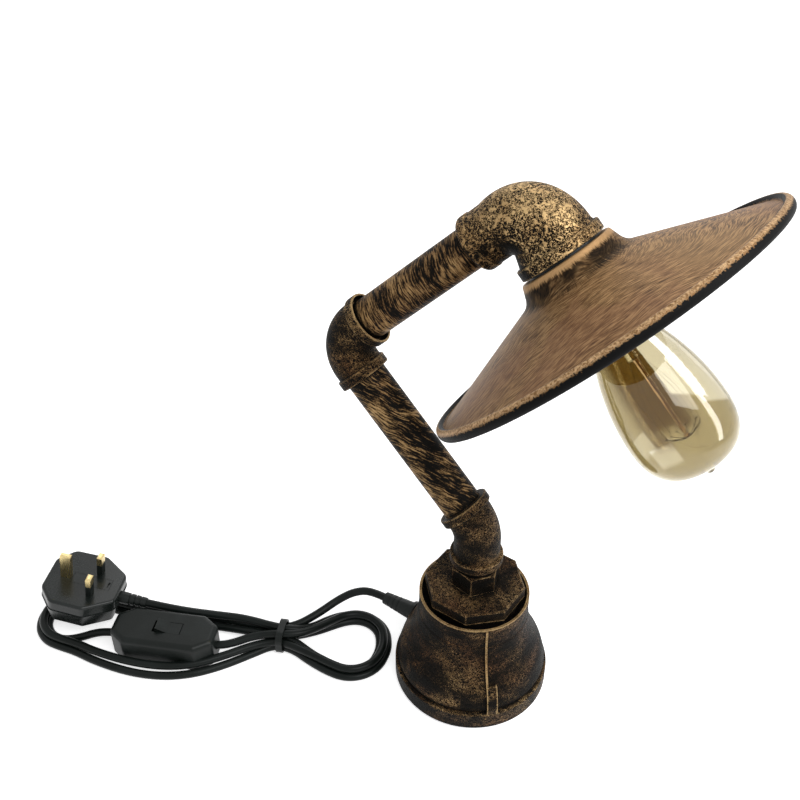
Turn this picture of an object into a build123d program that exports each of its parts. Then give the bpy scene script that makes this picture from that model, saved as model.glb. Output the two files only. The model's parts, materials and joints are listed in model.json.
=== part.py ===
"""Industrial pipe table lamp: malleable-iron pipe fittings, a cone shade, a squirrel-cage bulb
and a mains lead with an inline rocker switch and a fused three-pin plug.

Millimetres, +Z up, origin at the centre of the foot pad's underside. The lower pipe leans
towards -X from the axis of the base, the upper pipe comes back over the base, and the shade
hangs from it at 45 degrees.
"""
from build123d import *
from math import cos, radians, sin, tan
import os

os.makedirs("parts", exist_ok=True)

# ---------------------------------------------------------------- driving dimensions
# fits
thread_gap = 0.05            # radial gap of a screwed joint that is made up tight
swivel_gap = 0.10            # radial gap of a screwed joint that the lamp swivels on
slide_gap = 0.25             # gap round parts that slide or rock

# three-quarter-inch pipe
pipe_radius = 13.45
pipe_bore_radius = 10.9
socket_depth = 13.0
flex_radius = 3.0
flex_tight_bend = 14.0       # in the 90 degree elbow, between the pipes' ends

# pose of the arms
lower_lean = 45.0            # the lower pipe from the vertical
upper_turn = 16.16           # the middle elbow, turned on the lower pipe
head_turn = -2.17            # the head elbow, turned on the upper pipe
bend_height = 142.67         # where the lower pipe's axis meets the base's axis
lower_length = 151.78        # from that bend to the middle elbow's bend
upper_length = 155.07        # from the middle bend to the head elbow's bend

# base
pad_thickness = 1.5
pad_radius = 52.5
plate_thickness = 3.0
bell_bottom_thread = 44.45
bell_band_radius = 54.4
bell_band_top = 15.5
bell_top = 83.05
bell_neck_radius = 37.9
bell_wall = 10.0             # at the widest place, where the strain relief seats
bell_shoulder_height = 62.0
bushing_thread_radius = 30.1
octagon_corner_radius = 34.54
octagon_bottom = 84.4
octagon_top = 93.1
octagon_turn = 20.06
seam_turn = -47.0
seam_width = 1.4
seam_proud = 1.1
lug_width = 7.3
lug_top = 37.5
lug_proud = 1.9
gland_height = 30.0
gland_face = 47.5            # distance of the spot face from the base's axis
gland_end = 74.0             # where the lead leaves the strain relief

# hexagon nipple
hex_corner_radius = 16.8
hex_top = 108.5
hex_turn = -10.6
nipple_radius = 13.25

# 45 degree elbow
elbow45_body_radius = 15.6
elbow45_band_radius = 17.9
elbow45_bottom = 114.5
elbow45_leg = 17.5
elbow45_bend = 26.5
elbow45_band_height = 6.0

# 90 degree elbow
elbow90_body_radius = 15.8
elbow90_band_radius = 17.4
elbow90_mouth_band_radius = 17.6
elbow90_mouth_radius = 16.2
elbow90_mouth_depth = 4.5
elbow90_leg = 28.5
elbow90_bend = 19.0
elbow90_band_height = 6.5

# head elbow, three-quarter to one-and-a-quarter inch
head_body_radius = 25.0      # behind the big band
head_shoulder = 18.0         # where the big leg leaves the round body
head_shoulder_radius = 22.6
head_knee = 25.0             # from the bend to the centre that the body turns about, along each leg
head_sections = [(0.0, 25.0, 17.5), (22.5, 26.4, 19.8), (45.0, 27.0, 21.9), (67.5, 26.4, 23.2),
                 (90.0, 25.0, 24.4)]    # the body's rounds: turn, distance from that centre, radius
head_throat_radius = 17.0
head_throat_centre = 12.0
head_leg = 41.8
head_leg_radius = 17.6
head_leg_inner_end = 15.0
head_leg_band_radius = 18.2
head_leg_band_height = 8.0
head_leg_band_lip = 3.2
head_face = 33.5
head_band_radius = 27.35
head_band_height = 7.0
head_thread_radius = 20.95
head_thread_depth = 14.0
head_bend = 20.0

# shade
spacer_thickness = 1.5
spacer_radius = 23.5
shade_wall = 1.0
shade_top_radius = 29.2
shade_neck_reach = 4.11      # from the flat top's edge to where the neck's line meets the cone's
shade_neck_drop = 11.54
shade_rim_radius = 114.5     # to the middle of the rim's bead
shade_rim_height = 42.2
shade_bead_reach = 1.5       # from the end of the cone's wall to the middle of the bead
shade_bead_drop = 1.03
shade_rim_thick = 3.05
shade_rim_tall = 4.0

# lampholder
tube_radius = 4.95
tube_bore_radius = 3.5
nut_thickness = 3.0
nut_corner_radius = 8.1
holder_radius = 20.0
holder_cap_height = 11.0
holder_cap_wall = 1.8
holder_skirt_wall = 3.8
holder_length = 31.0
insert_flange_drop = 4.0
insert_floor_drop = 8.3
insert_ring_height = 13.0
contact_thickness = 0.7
screw_shell_radius = 13.3
screw_shell_wall = 0.4
screw_shell_length = 20.5

# bulb, from the tip of its cap
bulb_length = 138.0
bulb_radius = 32.6
bulb_wall = 0.9
cap_radius = 13.05
cap_length = 27.0
cap_contact_height = 1.2
cap_insulator_height = 4.0

# mains lead
cord_radius = 3.0
tie_turn = 24.0
tie_x = -128.0
tie_y = -58.0
tie_width = 5.0
tie_thickness = 1.3
bundle_width = 21.0
bundle_height = 16.8
strand_layers_height = 11.5
raised_end_height = 17.6
raised_end_start = -168.0
tie_lift = 1.3

# inline switch
switch_place = -84.0
switch_side = -18.0
switch_length = 78.0
switch_width = 34.0
switch_height = 24.0
switch_end_width = 17.0
switch_split = 11.0
switch_wall = 2.4
rocker_length = 19.0
rocker_width = 10.0
rocker_tilt = 12.0
rocker_pin_radius = 1.25

# plug
plug_place = -151.0
plug_side = 4.0
plug_height = 39.6
plug_tilt = 9.0
plug_base_thickness = 9.5
plug_thickness = 24.0
plug_taper = 12.0
pin_spacing = 22.23
pin_thickness = 3.97
live_pin_width = 6.35
live_pin_length = 17.7
earth_pin_width = 7.95
earth_pin_length = 22.73
earth_pin_place = -14.0
sleeve_length = 9.4
sleeve_wall = 0.6
pin_tail = 6.0
carrier_length = 29.0
carrier_width = 9.6
carrier_depth = 11.0
carrier_place = 5.5
fuse_radius = 3.17
fuse_length = 25.4
guard_drop = 10.0
guard_length = 20.0
guard_radius = 4.6
guard_end_radius = 3.9
boot_wall_radius = 6.6
boot_end_radius = 4.6

# ---------------------------------------------------------------- directions and places
up = Vector(0, 0, 1)
lower_dir = Vector(-sin(radians(lower_lean)), 0, cos(radians(lower_lean)))
lower_side = Vector(0, 1, 0)
upper_dir = Vector(cos(radians(lower_lean)), 0, sin(radians(lower_lean)))
upper_dir = upper_dir.rotate(Axis((0, 0, 0), lower_dir), upper_turn)
head_dir = (lower_dir * -1).rotate(Axis((0, 0, 0), upper_dir), head_turn)

low_bend = Vector(0, 0, bend_height)
mid_bend = low_bend + lower_dir * lower_length
top_bend = mid_bend + upper_dir * upper_length


def profile_plane(origin, along, side):
    """A sketch plane whose Y runs along an axis and whose X is the radius."""
    return Plane(origin=origin, x_dir=side, z_dir=side.cross(along))


def face_plane(origin, along, side):
    """A sketch plane square to an axis."""
    return Plane(origin=origin, x_dir=side, z_dir=along)


def keep(part_builder, name):
    """Label a finished piece and write it."""
    part_builder.part.label = name
    export_step(part_builder.part, f"parts/{name}.step")


base_axis = Axis((0, 0, 0), up)
lower_axis = Axis(low_bend, lower_dir)
upper_axis = Axis(mid_bend, upper_dir)
head_axis = Axis(top_bend, head_dir)
base_profile = profile_plane(Vector(0, 0, 0), up, Vector(1, 0, 0))
head_profile = profile_plane(top_bend, head_dir, upper_dir)

# heights along the base's axis and stations along the arms
bell_bottom = pad_thickness
plate_top = bell_bottom + plate_thickness
nipple_seat = elbow45_bottom + socket_depth - 3.0
lower_pipe_start = elbow45_leg - socket_depth + 1.0
lower_pipe_end = lower_length - elbow90_leg + socket_depth
upper_pipe_start = elbow90_leg - socket_depth
upper_pipe_end = upper_length - head_leg + socket_depth

# ---------------------------------------------------------------- base
with BuildPart() as foot_pad:
    with BuildSketch():
        Circle(pad_radius)
    extrude(amount=pad_thickness)
keep(foot_pad, "foot_pad")

with BuildPart() as base_plate:
    with BuildSketch(Plane.XY.offset(bell_bottom)):
        Circle(bell_bottom_thread - thread_gap)
    extrude(amount=plate_thickness)
keep(base_plate, "base_plate")


def bell_side(proud):
    """The casting's outside above its bottom band, as (radius, height), moved out by proud."""
    swell = [(2.8, 2.0), (1.8, 4.5), (2.5, 8.5), (3.8, 13.5), (5.4, 18.0), (7.5, 22.0), (9.5, 26.0),
             (11.4, 30.3), (13.0, 35.0), (14.4, 39.5), (15.4, 44.5), (16.0, 50.0)]
    points = [(bell_band_radius - within, bell_band_top + above) for within, above in swell]
    return [(radius + proud, height) for radius, height in points]


bell_side_bottom = bell_side(0)[0]
bell_side_top = bell_side(0)[-1]
bell_cavity_radius = bell_side(0)[1][0] - bell_wall
bell_mouth_radius = bell_neck_radius - 1.7
bell_thread_radius = bushing_thread_radius + thread_gap

with BuildPart() as base_bell:
    with BuildSketch(base_profile) as bell_outline:
        with BuildLine():
            Polyline((0, bell_bottom), (bell_band_radius, bell_bottom),
                     (bell_band_radius, bell_band_top), (bell_side_bottom[0], bell_band_top + 1.0),
                     bell_side_bottom)
            Spline(*bell_side(0))
            Polyline(bell_side_top, (bell_neck_radius, bell_side_top[1] + 2.0),
                     (bell_neck_radius, bell_top), (0, bell_top), (0, bell_bottom))
        make_face()
        band_corners = bell_outline.vertices().group_by(Axis.X)[-1]
        fillet(band_corners, radius=1.4)
    revolve(axis=base_axis)
    for turn in (seam_turn, seam_turn + 180):
        seam_side = Vector(cos(radians(turn)), sin(radians(turn)), 0)
        seam_plane = profile_plane(Vector(0, 0, 0), up, seam_side)
        with BuildSketch(seam_plane):
            with BuildLine():
                Spline(*bell_side(seam_proud))
                Polyline(bell_side(seam_proud)[-1], (bell_neck_radius + 0.8, bell_side_top[1] + 2),
                         (bell_neck_radius + 0.8, bell_top - 1), (bell_thread_radius + 4, bell_top - 1),
                         (bell_thread_radius + 4, bell_side_bottom[1]), bell_side(seam_proud)[0])
            make_face()
        extrude(amount=seam_width / 2, both=True)
        lug_plane = seam_plane.offset(-(lug_width - seam_width) / 2)
        with BuildSketch(lug_plane):
            Polygon((bell_cavity_radius, bell_band_top - 1), (bell_band_radius - 0.3, bell_band_top - 1),
                    *bell_side(lug_proud)[1:5], (bell_side(lug_proud)[5][0], lug_top),
                    (bell_cavity_radius - 2, lug_top), align=None)
        extrude(amount=lug_width / 2, both=True)
    with BuildSketch(base_profile):
        with BuildLine():
            Polyline((0, bell_bottom), (bell_bottom_thread, bell_bottom),
                     (bell_bottom_thread, plate_top), (bell_bottom_thread - 1.5, plate_top),
                     (bell_bottom_thread - 1.5, bell_band_top), (bell_cavity_radius, 24.5),
                     (bell_cavity_radius, 34.0), (bell_cavity_radius - 6.2, 50.0),
                     (bushing_thread_radius - 3.1, bell_shoulder_height - 3.0),
                     (bushing_thread_radius - 3.1, bell_shoulder_height),
                     (bell_thread_radius, bell_shoulder_height), (bell_thread_radius, bell_top - 8.0),
                     (bell_mouth_radius, bell_top - 5.0), (bell_mouth_radius, bell_top),
                     (0, bell_top), (0, bell_bottom))
        make_face()
    revolve(axis=base_axis, mode=Mode.SUBTRACT)
    gland_plane = Plane(origin=(0, 0, gland_height), x_dir=(0, 1, 0), z_dir=(-1, 0, 0))
    with BuildSketch(gland_plane.offset(gland_face)):
        Circle(8.6)
    extrude(amount=12, mode=Mode.SUBTRACT)
    with BuildSketch(gland_plane.offset(gland_face - 4.8)):
        Circle(8.6)
    extrude(amount=-12, mode=Mode.SUBTRACT)
    with BuildSketch(gland_plane):
        Circle(5.5 + thread_gap)
    extrude(amount=60, mode=Mode.SUBTRACT)
keep(base_bell, "base_bell")

with BuildPart() as strain_relief:
    with BuildSketch(profile_plane(Vector(0, 0, gland_height), Vector(-1, 0, 0), Vector(0, 0, 1))):
        with BuildLine():
            Polyline((cord_radius + thread_gap, gland_face - 9.0), (5.5, gland_face - 9.0),
                     (5.5, gland_face), (8.0, gland_face), (8.0, gland_face + 2.5),
                     (boot_wall_radius, gland_face + 2.5), (boot_end_radius, gland_end),
                     (cord_radius + thread_gap, gland_end), (cord_radius + thread_gap, gland_face - 9.0))
        make_face()
    revolve(axis=Axis((0, 0, gland_height), (-1, 0, 0)))
    for station in (60.0, 64.0, 68.0):
        with BuildSketch(gland_plane.offset(station)):
            Circle(boot_wall_radius + 1)
            Circle(boot_end_radius - 0.3 + (gland_end - station) * 0.07, mode=Mode.SUBTRACT)
        extrude(amount=1.4, mode=Mode.SUBTRACT)
keep(strain_relief, "strain_relief")

with BuildPart() as gland_nut:
    with BuildSketch(gland_plane.offset(gland_face - 4.8 - 3.0)):
        RegularPolygon(8.0, 6)
        Circle(5.5 + thread_gap, mode=Mode.SUBTRACT)
    extrude(amount=3.0)
keep(gland_nut, "gland_nut")

with BuildPart() as octagon_bushing:
    with BuildSketch(Plane.XY.offset(octagon_bottom)):
        RegularPolygon(octagon_corner_radius, 8, rotation=octagon_turn)
    extrude(amount=octagon_top - octagon_bottom)
    chamfer(octagon_bushing.edges().group_by(Axis.Z)[-1], length=0.9)
    with BuildSketch(Plane.XY.offset(bell_shoulder_height)):
        Circle(bushing_thread_radius)
    extrude(amount=octagon_bottom - bell_shoulder_height)
    with BuildSketch(Plane.XY.offset(bell_shoulder_height)):
        Circle(bushing_thread_radius - 6)
    extrude(amount=octagon_bottom - bell_shoulder_height - 9, mode=Mode.SUBTRACT)
    with BuildSketch(Plane.XY.offset(bell_shoulder_height)):
        Circle(nipple_radius + thread_gap)
    extrude(amount=octagon_top - bell_shoulder_height, mode=Mode.SUBTRACT)
keep(octagon_bushing, "octagon_bushing")

with BuildPart() as hex_nipple:
    with BuildSketch(Plane.XY.offset(octagon_top)):
        RegularPolygon(hex_corner_radius, 6, rotation=hex_turn)
    extrude(amount=hex_top - octagon_top)
    with BuildSketch(base_profile):
        Polygon((hex_corner_radius - 2.2, hex_top), (hex_corner_radius + 1, hex_top),
                (hex_corner_radius + 1, hex_top - 1.9), align=None)
    revolve(axis=base_axis, mode=Mode.SUBTRACT)
    with BuildSketch(Plane.XY.offset(octagon_top - 16)):
        Circle(nipple_radius)
    extrude(amount=nipple_seat - octagon_top + 16)
    with BuildSketch(Plane.XY.offset(octagon_top - 16)):
        Circle(pipe_bore_radius)
    extrude(amount=nipple_seat - octagon_top + 16, mode=Mode.SUBTRACT)
keep(hex_nipple, "hex_nipple")

# ---------------------------------------------------------------- pipes and elbows


def band_profile(inner, outer, foot, head, slope, lip=0.7):
    """Half section of a fitting's band: a ring with a round lip and a sloped shoulder behind it."""
    with BuildLine() as ring:
        Line((inner, foot), (outer - lip, foot))
        JernArc((outer - lip, foot), (1, 0), lip, 90)
        Polyline((outer, foot + lip), (outer, head - 0.7), (outer - 0.7, head), (inner, head + slope),
                 (inner, foot))
    make_face(ring.edges())


with BuildLine() as elbow45_line:
    FilletPolyline((0, 0, elbow45_bottom), low_bend, low_bend + lower_dir * elbow45_leg,
                   radius=elbow45_bend)

with BuildPart() as elbow_45:
    with BuildSketch(Plane.XY.offset(elbow45_bottom)):
        Circle(elbow45_body_radius)
    sweep(path=elbow45_line.line)
    with BuildSketch(base_profile):
        band_profile(pipe_bore_radius, elbow45_band_radius, elbow45_bottom,
                     elbow45_bottom + elbow45_band_height, 2.5)
    revolve(axis=base_axis)
    with BuildSketch(profile_plane(low_bend + lower_dir * elbow45_leg, lower_dir * -1, lower_side)):
        band_profile(pipe_bore_radius, elbow45_band_radius, 0, elbow45_band_height, 1.0)
    revolve(axis=lower_axis)
    with BuildSketch(Plane.XY.offset(elbow45_bottom)):
        Circle(pipe_bore_radius)
    sweep(path=elbow45_line.line, mode=Mode.SUBTRACT)
    with BuildSketch(Plane.XY.offset(elbow45_bottom)):
        Circle(nipple_radius + swivel_gap)
    extrude(amount=nipple_seat - elbow45_bottom, mode=Mode.SUBTRACT)
    with BuildSketch(face_plane(low_bend + lower_dir * lower_pipe_start, lower_dir, lower_side)):
        Circle(pipe_radius + thread_gap)
    extrude(amount=elbow45_leg, mode=Mode.SUBTRACT)
keep(elbow_45, "elbow_45")


def pipe(origin, along, side, start, end):
    """A length of pipe between two stations on an axis."""
    with BuildSketch(face_plane(origin + along * start, along, side)) as wall:
        Circle(pipe_radius)
        Circle(pipe_bore_radius, mode=Mode.SUBTRACT)
    extrude(wall.sketch, amount=end - start)


with BuildPart() as lower_pipe:
    pipe(low_bend, lower_dir, lower_side, lower_pipe_start, lower_pipe_end)
keep(lower_pipe, "lower_pipe")

elbow90_start = mid_bend - lower_dir * elbow90_leg
elbow90_mouth = mid_bend + upper_dir * elbow90_leg
with BuildLine() as elbow90_line:
    FilletPolyline(elbow90_start, mid_bend, elbow90_mouth, radius=elbow90_bend)

with BuildPart() as elbow_90:
    with BuildSketch(face_plane(elbow90_start, lower_dir, lower_side)):
        Circle(elbow90_body_radius)
    sweep(path=elbow90_line.line)
    with BuildSketch(profile_plane(elbow90_start, lower_dir, lower_side)):
        band_profile(pipe_bore_radius, elbow90_band_radius, 0, elbow90_band_height, 1.5)
    revolve(axis=lower_axis)
    with BuildSketch(profile_plane(elbow90_mouth, upper_dir * -1, lower_dir)):
        band_profile(pipe_bore_radius, elbow90_mouth_band_radius, 0, elbow90_band_height, 1.5)
    revolve(axis=upper_axis)
    with BuildSketch(face_plane(elbow90_start, lower_dir, lower_side)):
        Circle(pipe_bore_radius)
    sweep(path=elbow90_line.line, mode=Mode.SUBTRACT)
    with BuildSketch(face_plane(elbow90_start, lower_dir, lower_side)):
        Circle(pipe_radius + swivel_gap)
    extrude(amount=socket_depth, mode=Mode.SUBTRACT)
    with BuildSketch(face_plane(elbow90_mouth, upper_dir * -1, lower_dir)):
        Circle(pipe_radius + thread_gap)
    extrude(amount=socket_depth, mode=Mode.SUBTRACT)
    with BuildSketch(face_plane(elbow90_mouth, upper_dir * -1, lower_dir)):
        Circle(elbow90_mouth_radius)
    extrude(amount=elbow90_mouth_depth, mode=Mode.SUBTRACT)
keep(elbow_90, "elbow_90")

with BuildPart() as upper_pipe:
    pipe(mid_bend, upper_dir, lower_dir, upper_pipe_start, upper_pipe_end)
keep(upper_pipe, "upper_pipe")

head_leg_end = top_bend - upper_dir * head_leg
with BuildLine() as head_line:
    FilletPolyline(head_leg_end, top_bend, top_bend + head_dir * head_face, radius=head_bend)
head_seat = head_face - head_thread_depth

knee_centre = top_bend + (head_dir - upper_dir) * head_knee
with BuildPart() as head_elbow:
    for turn, reach, section_radius in head_sections:
        outward = upper_dir * sin(radians(turn)) - head_dir * cos(radians(turn))
        onward = upper_dir * cos(radians(turn)) + head_dir * sin(radians(turn))
        with BuildSketch(face_plane(knee_centre + outward * reach, onward, outward)):
            Circle(section_radius)
    loft()
    with BuildSketch(head_profile):
        Polygon((0, head_shoulder), (head_shoulder_radius, head_shoulder),
                (head_body_radius, head_face - head_band_height), (head_body_radius, head_face),
                (0, head_face), align=None)
    revolve(axis=head_axis)
    with BuildSketch(profile_plane(head_leg_end, upper_dir, head_dir)):
        Polygon((0, 0), (head_leg_radius - head_leg_band_lip, 0), (head_leg_radius, head_leg_band_lip),
                (head_leg_radius, head_leg - head_leg_inner_end), (0, head_leg - head_leg_inner_end),
                align=None)
    revolve(axis=upper_axis)
    with BuildSketch(profile_plane(top_bend + head_dir * head_face, head_dir * -1, upper_dir)):
        band_profile(pipe_bore_radius, head_band_radius, 0, head_band_height, 1.0)
    revolve(axis=head_axis)
    with BuildSketch(profile_plane(head_leg_end, upper_dir, head_dir)):
        band_profile(pipe_bore_radius, head_leg_band_radius, 0, head_leg_band_height, 1.0,
                     head_leg_band_lip)
    revolve(axis=upper_axis)
    with BuildSketch(head_profile):
        with BuildLine():
            Polyline((0, head_seat), (head_throat_radius, head_seat), (head_throat_radius, head_throat_centre))
            RadiusArc((head_throat_radius, head_throat_centre),
                      (0, head_throat_centre - head_throat_radius), head_throat_radius)
            Line((0, head_throat_centre - head_throat_radius), (0, head_seat))
        make_face()
    revolve(axis=head_axis, mode=Mode.SUBTRACT)
    with BuildSketch(face_plane(head_leg_end, upper_dir, head_dir)):
        Circle(pipe_bore_radius)
    sweep(path=head_line.line, mode=Mode.SUBTRACT)
    with BuildSketch(face_plane(head_leg_end, upper_dir, head_dir)):
        Circle(pipe_radius + swivel_gap)
    extrude(amount=socket_depth, mode=Mode.SUBTRACT)
    with BuildSketch(face_plane(top_bend + head_dir * head_seat, head_dir, upper_dir)):
        Circle(head_thread_radius)
    extrude(amount=head_thread_depth, mode=Mode.SUBTRACT)
keep(head_elbow, "head_elbow")

# ---------------------------------------------------------------- head: closing plug, shade, lampholder
shade_place = head_face + spacer_thickness
tube_start = head_seat + 5.0
nut_place = shade_place + shade_wall
holder_place = nut_place + nut_thickness
tube_end = holder_place + 3.0


def disc_along_head(start, length, radius, hole):
    """A washer-like disc on the head's axis."""
    with BuildSketch(face_plane(top_bend + head_dir * start, head_dir, upper_dir)) as disc:
        Circle(radius)
        Circle(hole, mode=Mode.SUBTRACT)
    extrude(disc.sketch, amount=length)


with BuildPart() as head_plug:
    disc_along_head(head_seat, head_thread_depth, head_thread_radius - thread_gap, tube_bore_radius)
    with BuildSketch(face_plane(top_bend + head_dir * tube_start, head_dir, upper_dir)):
        Circle(tube_radius + thread_gap)
    extrude(amount=head_face - tube_start, mode=Mode.SUBTRACT)
keep(head_plug, "head_plug")

with BuildPart() as shade_spacer:
    disc_along_head(head_face, spacer_thickness, spacer_radius, tube_radius + slide_gap)
keep(shade_spacer, "shade_spacer")

with BuildPart() as threaded_tube:
    disc_along_head(tube_start, tube_end - tube_start, tube_radius, tube_bore_radius)
keep(threaded_tube, "threaded_tube")

shade_origin = top_bend + head_dir * shade_place
with BuildPart() as shade:
    with BuildSketch(profile_plane(shade_origin, head_dir, upper_dir)):
        with BuildLine():
            FilletPolyline((tube_radius + slide_gap, 0), (shade_top_radius, 0),
                           (shade_top_radius + shade_neck_reach, shade_neck_drop),
                           (shade_rim_radius - shade_bead_reach, shade_rim_height - shade_bead_drop),
                           radius=(1.6, 9.0))
            offset(amount=shade_wall, side=Side.LEFT)
        make_face()
        with Locations((shade_rim_radius, shade_rim_height)):
            Ellipse(shade_rim_thick, shade_rim_tall)
    revolve(axis=head_axis)
keep(shade, "shade")

with BuildPart() as lock_nut:
    with BuildSketch(face_plane(top_bend + head_dir * nut_place, head_dir, upper_dir)):
        RegularPolygon(nut_corner_radius, 6)
        Circle(tube_radius + thread_gap, mode=Mode.SUBTRACT)
    extrude(amount=nut_thickness)
keep(lock_nut, "lock_nut")

holder_plane = profile_plane(top_bend + head_dir * holder_place, head_dir, upper_dir)
cap_inside = holder_radius - holder_cap_wall
with BuildPart() as holder_cap:
    with BuildSketch(holder_plane):
        with BuildLine():
            Polyline((tube_radius + thread_gap, 0), (holder_radius - 8, 0), (holder_radius - 1, 3.2),
                     (holder_radius, 5.0), (holder_radius, holder_cap_height),
                     (cap_inside, holder_cap_height), (cap_inside, insert_flange_drop),
                     (cap_inside - 6, 2.6), (tube_radius + thread_gap, 2.6), (tube_radius + thread_gap, 0))
        make_face()
    revolve(axis=head_axis)
keep(holder_cap, "holder_cap")

flange_thickness = 1.5
skirt_start = insert_flange_drop + flange_thickness
skirt_bore = holder_radius - holder_skirt_wall
with BuildPart() as holder_skirt:
    with BuildSketch(holder_plane):
        with BuildLine():
            Polyline((skirt_bore, skirt_start), (cap_inside - thread_gap, skirt_start),
                     (cap_inside - thread_gap, holder_cap_height), (holder_radius, holder_cap_height),
                     (holder_radius, holder_length), (skirt_bore, holder_length), (skirt_bore, skirt_start))
        make_face()
    revolve(axis=head_axis)
keep(holder_skirt, "holder_skirt")

insert_radius = skirt_bore - thread_gap
insert_bore = screw_shell_radius + screw_shell_wall + slide_gap
with BuildPart() as holder_insert:
    with BuildSketch(holder_plane):
        with BuildLine():
            Polyline((cord_radius + 1.0, insert_flange_drop), (cap_inside - slide_gap, insert_flange_drop),
                     (cap_inside - slide_gap, skirt_start), (insert_radius, skirt_start),
                     (insert_radius, insert_floor_drop + insert_ring_height),
                     (insert_bore, insert_floor_drop + insert_ring_height),
                     (insert_bore, insert_floor_drop), (cord_radius + 1.0, insert_floor_drop),
                     (cord_radius + 1.0, insert_flange_drop))
        make_face()
    revolve(axis=head_axis)
keep(holder_insert, "holder_insert")

insert_floor = holder_place + insert_floor_drop
cap_tip = insert_floor + contact_thickness
with BuildPart() as screw_shell:
    disc_along_head(insert_floor, screw_shell_length, screw_shell_radius + screw_shell_wall, screw_shell_radius)
    disc_along_head(insert_floor, screw_shell_wall, screw_shell_radius + screw_shell_wall, 8.0)
keep(screw_shell, "screw_shell")

with BuildPart() as centre_contact:
    disc_along_head(insert_floor, contact_thickness, 5.6, 1.0)
keep(centre_contact, "centre_contact")

with BuildPart() as holder_screws:
    with BuildSketch(face_plane(top_bend + head_dir * (holder_place + insert_flange_drop), head_dir * -1, upper_dir)):
        with PolarLocations(10.0, 2):
            Circle(1.9)
    extrude(amount=1.2)
keep(holder_screws, "holder_screws")

# ---------------------------------------------------------------- bulb
bulb_plane = profile_plane(top_bend + head_dir * cap_tip, head_dir, upper_dir)
cap_grip = 3.5
cap_wall = 1.5
neck_radius = cap_radius - cap_wall
drawn_glass_length = 111.0   # from the cap to the tip, for which the outline's points are given
glass_stretch = (bulb_length - cap_length) / drawn_glass_length


def glass_side(inset):
    """The envelope's side from its neck to its crown, as (radius, station)."""
    swell = [(18.2, 6.5), (14.6, 14.0), (11.0, 22.0), (8.0, 29.5), (5.0, 39.0), (2.5, 49.5), (0.8, 60.5)]
    crown = [(0.0, 38.0), (0.8, 26.0), (3.6, 17.5), (8.8, 10.8), (17.0, 6.2), (26.6, 4.2)]
    points = [(neck_radius, cap_length - cap_grip), (neck_radius, cap_length),
              *((bulb_radius - less, cap_length + beyond * glass_stretch) for less, beyond in swell),
              *((bulb_radius - less, bulb_length - before * glass_stretch) for less, before in crown)]
    return [(radius - inset, station - inset * radius * radius / bulb_radius ** 2)
            for radius, station in points]


def glass_face(inset, tip):
    """Half section of the envelope, closed along its axis."""
    side = glass_side(inset)
    with BuildLine() as half:
        Line((0, side[0][1]), side[0])
        Spline(*side)
        Spline(side[-1], (3.4 - inset, tip - 2.2), (0, tip), tangents=[(-1, 0.15), (-1, 0)])
        Line((0, tip), (0, side[0][1]))
    make_face(half.edges())


with BuildPart() as bulb_glass:
    with BuildSketch(bulb_plane):
        glass_face(0, bulb_length)
    revolve(axis=head_axis)
    with BuildSketch(bulb_plane):
        glass_face(bulb_wall, bulb_length - 3.2)
    revolve(axis=head_axis, mode=Mode.SUBTRACT)
keep(bulb_glass, "bulb_glass")

shell_start = cap_contact_height + cap_insulator_height
with BuildPart() as bulb_cap:
    with BuildSketch(bulb_plane):
        with BuildLine():
            Polyline((11.0, shell_start), (cap_radius - 0.8, shell_start + 1.5),
                     (cap_radius - 0.8, cap_length), (neck_radius, cap_length),
                     (neck_radius, cap_length - cap_grip), (0, cap_length - cap_grip), (0, shell_start),
                     (11.0, shell_start))
        make_face()
        for ridge in range(4):
            with Locations((cap_radius - 0.9, shell_start + 4.0 + ridge * 3.6)):
                Circle(0.9)
    revolve(axis=head_axis)
keep(bulb_cap, "bulb_cap")

with BuildPart() as cap_insulator:
    with BuildSketch(bulb_plane):
        Polygon((0, cap_contact_height), (5.5, cap_contact_height), (11.0, shell_start), (0, shell_start),
                align=None)
    revolve(axis=head_axis)
keep(cap_insulator, "cap_insulator")

with BuildPart() as cap_contact:
    with BuildSketch(bulb_plane):
        Polygon((0, 0), (3.6, 0), (4.8, 0.5), (4.8, cap_contact_height), (0, cap_contact_height), align=None)
    revolve(axis=head_axis)
keep(cap_contact, "cap_contact")

stem_start = cap_length - cap_grip
stem_length = 34.0
post_tip_gap = 25.0          # from the end of the post to the bulb's tip
post_end = bulb_length - post_tip_gap
with BuildPart() as bulb_stem:
    with BuildSketch(bulb_plane):
        with BuildLine():
            Polyline((0, stem_start), (10.6, stem_start), (10.2, stem_start + 1.5), (5.2, stem_start + 8),
                     (4.2, stem_start + 20), (4.4, stem_start + stem_length), (0, stem_start + stem_length),
                     (0, stem_start))
        make_face()
    revolve(axis=head_axis)
keep(bulb_stem, "bulb_stem")

with BuildPart() as support_post:
    with BuildSketch(bulb_plane):
        with BuildLine():
            Polyline((0, stem_start + stem_length), (1.7, stem_start + stem_length), (1.3, post_end - 3),
                     (2.1, post_end - 1.5), (1.3, post_end), (0, post_end), (0, stem_start + stem_length))
        make_face()
    revolve(axis=head_axis)
keep(support_post, "support_post")


def wire(plane, start, end, radius):
    """A straight round wire between two points of a plane's own frame."""
    first = plane.from_local_coords(Vector(*start))
    last = plane.from_local_coords(Vector(*end))
    with BuildSketch(Plane(origin=first, z_dir=last - first)) as section:
        Circle(radius)
    extrude(section.sketch, amount=(last - first).length)


hook_count = 8
hook_reach = 11.5
hook_radius = 0.3
post_plane = face_plane(top_bend + head_dir * cap_tip, head_dir, upper_dir)
with BuildPart() as support_hooks:
    for hook in range(hook_count):
        angle = radians(360 / hook_count * hook + 12)
        wire(post_plane, (1.2 * cos(angle), 1.2 * sin(angle), post_end - 1.5),
             (hook_reach * cos(angle), hook_reach * sin(angle), post_end + 2.0), hook_radius)
keep(support_hooks, "support_hooks")

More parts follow.
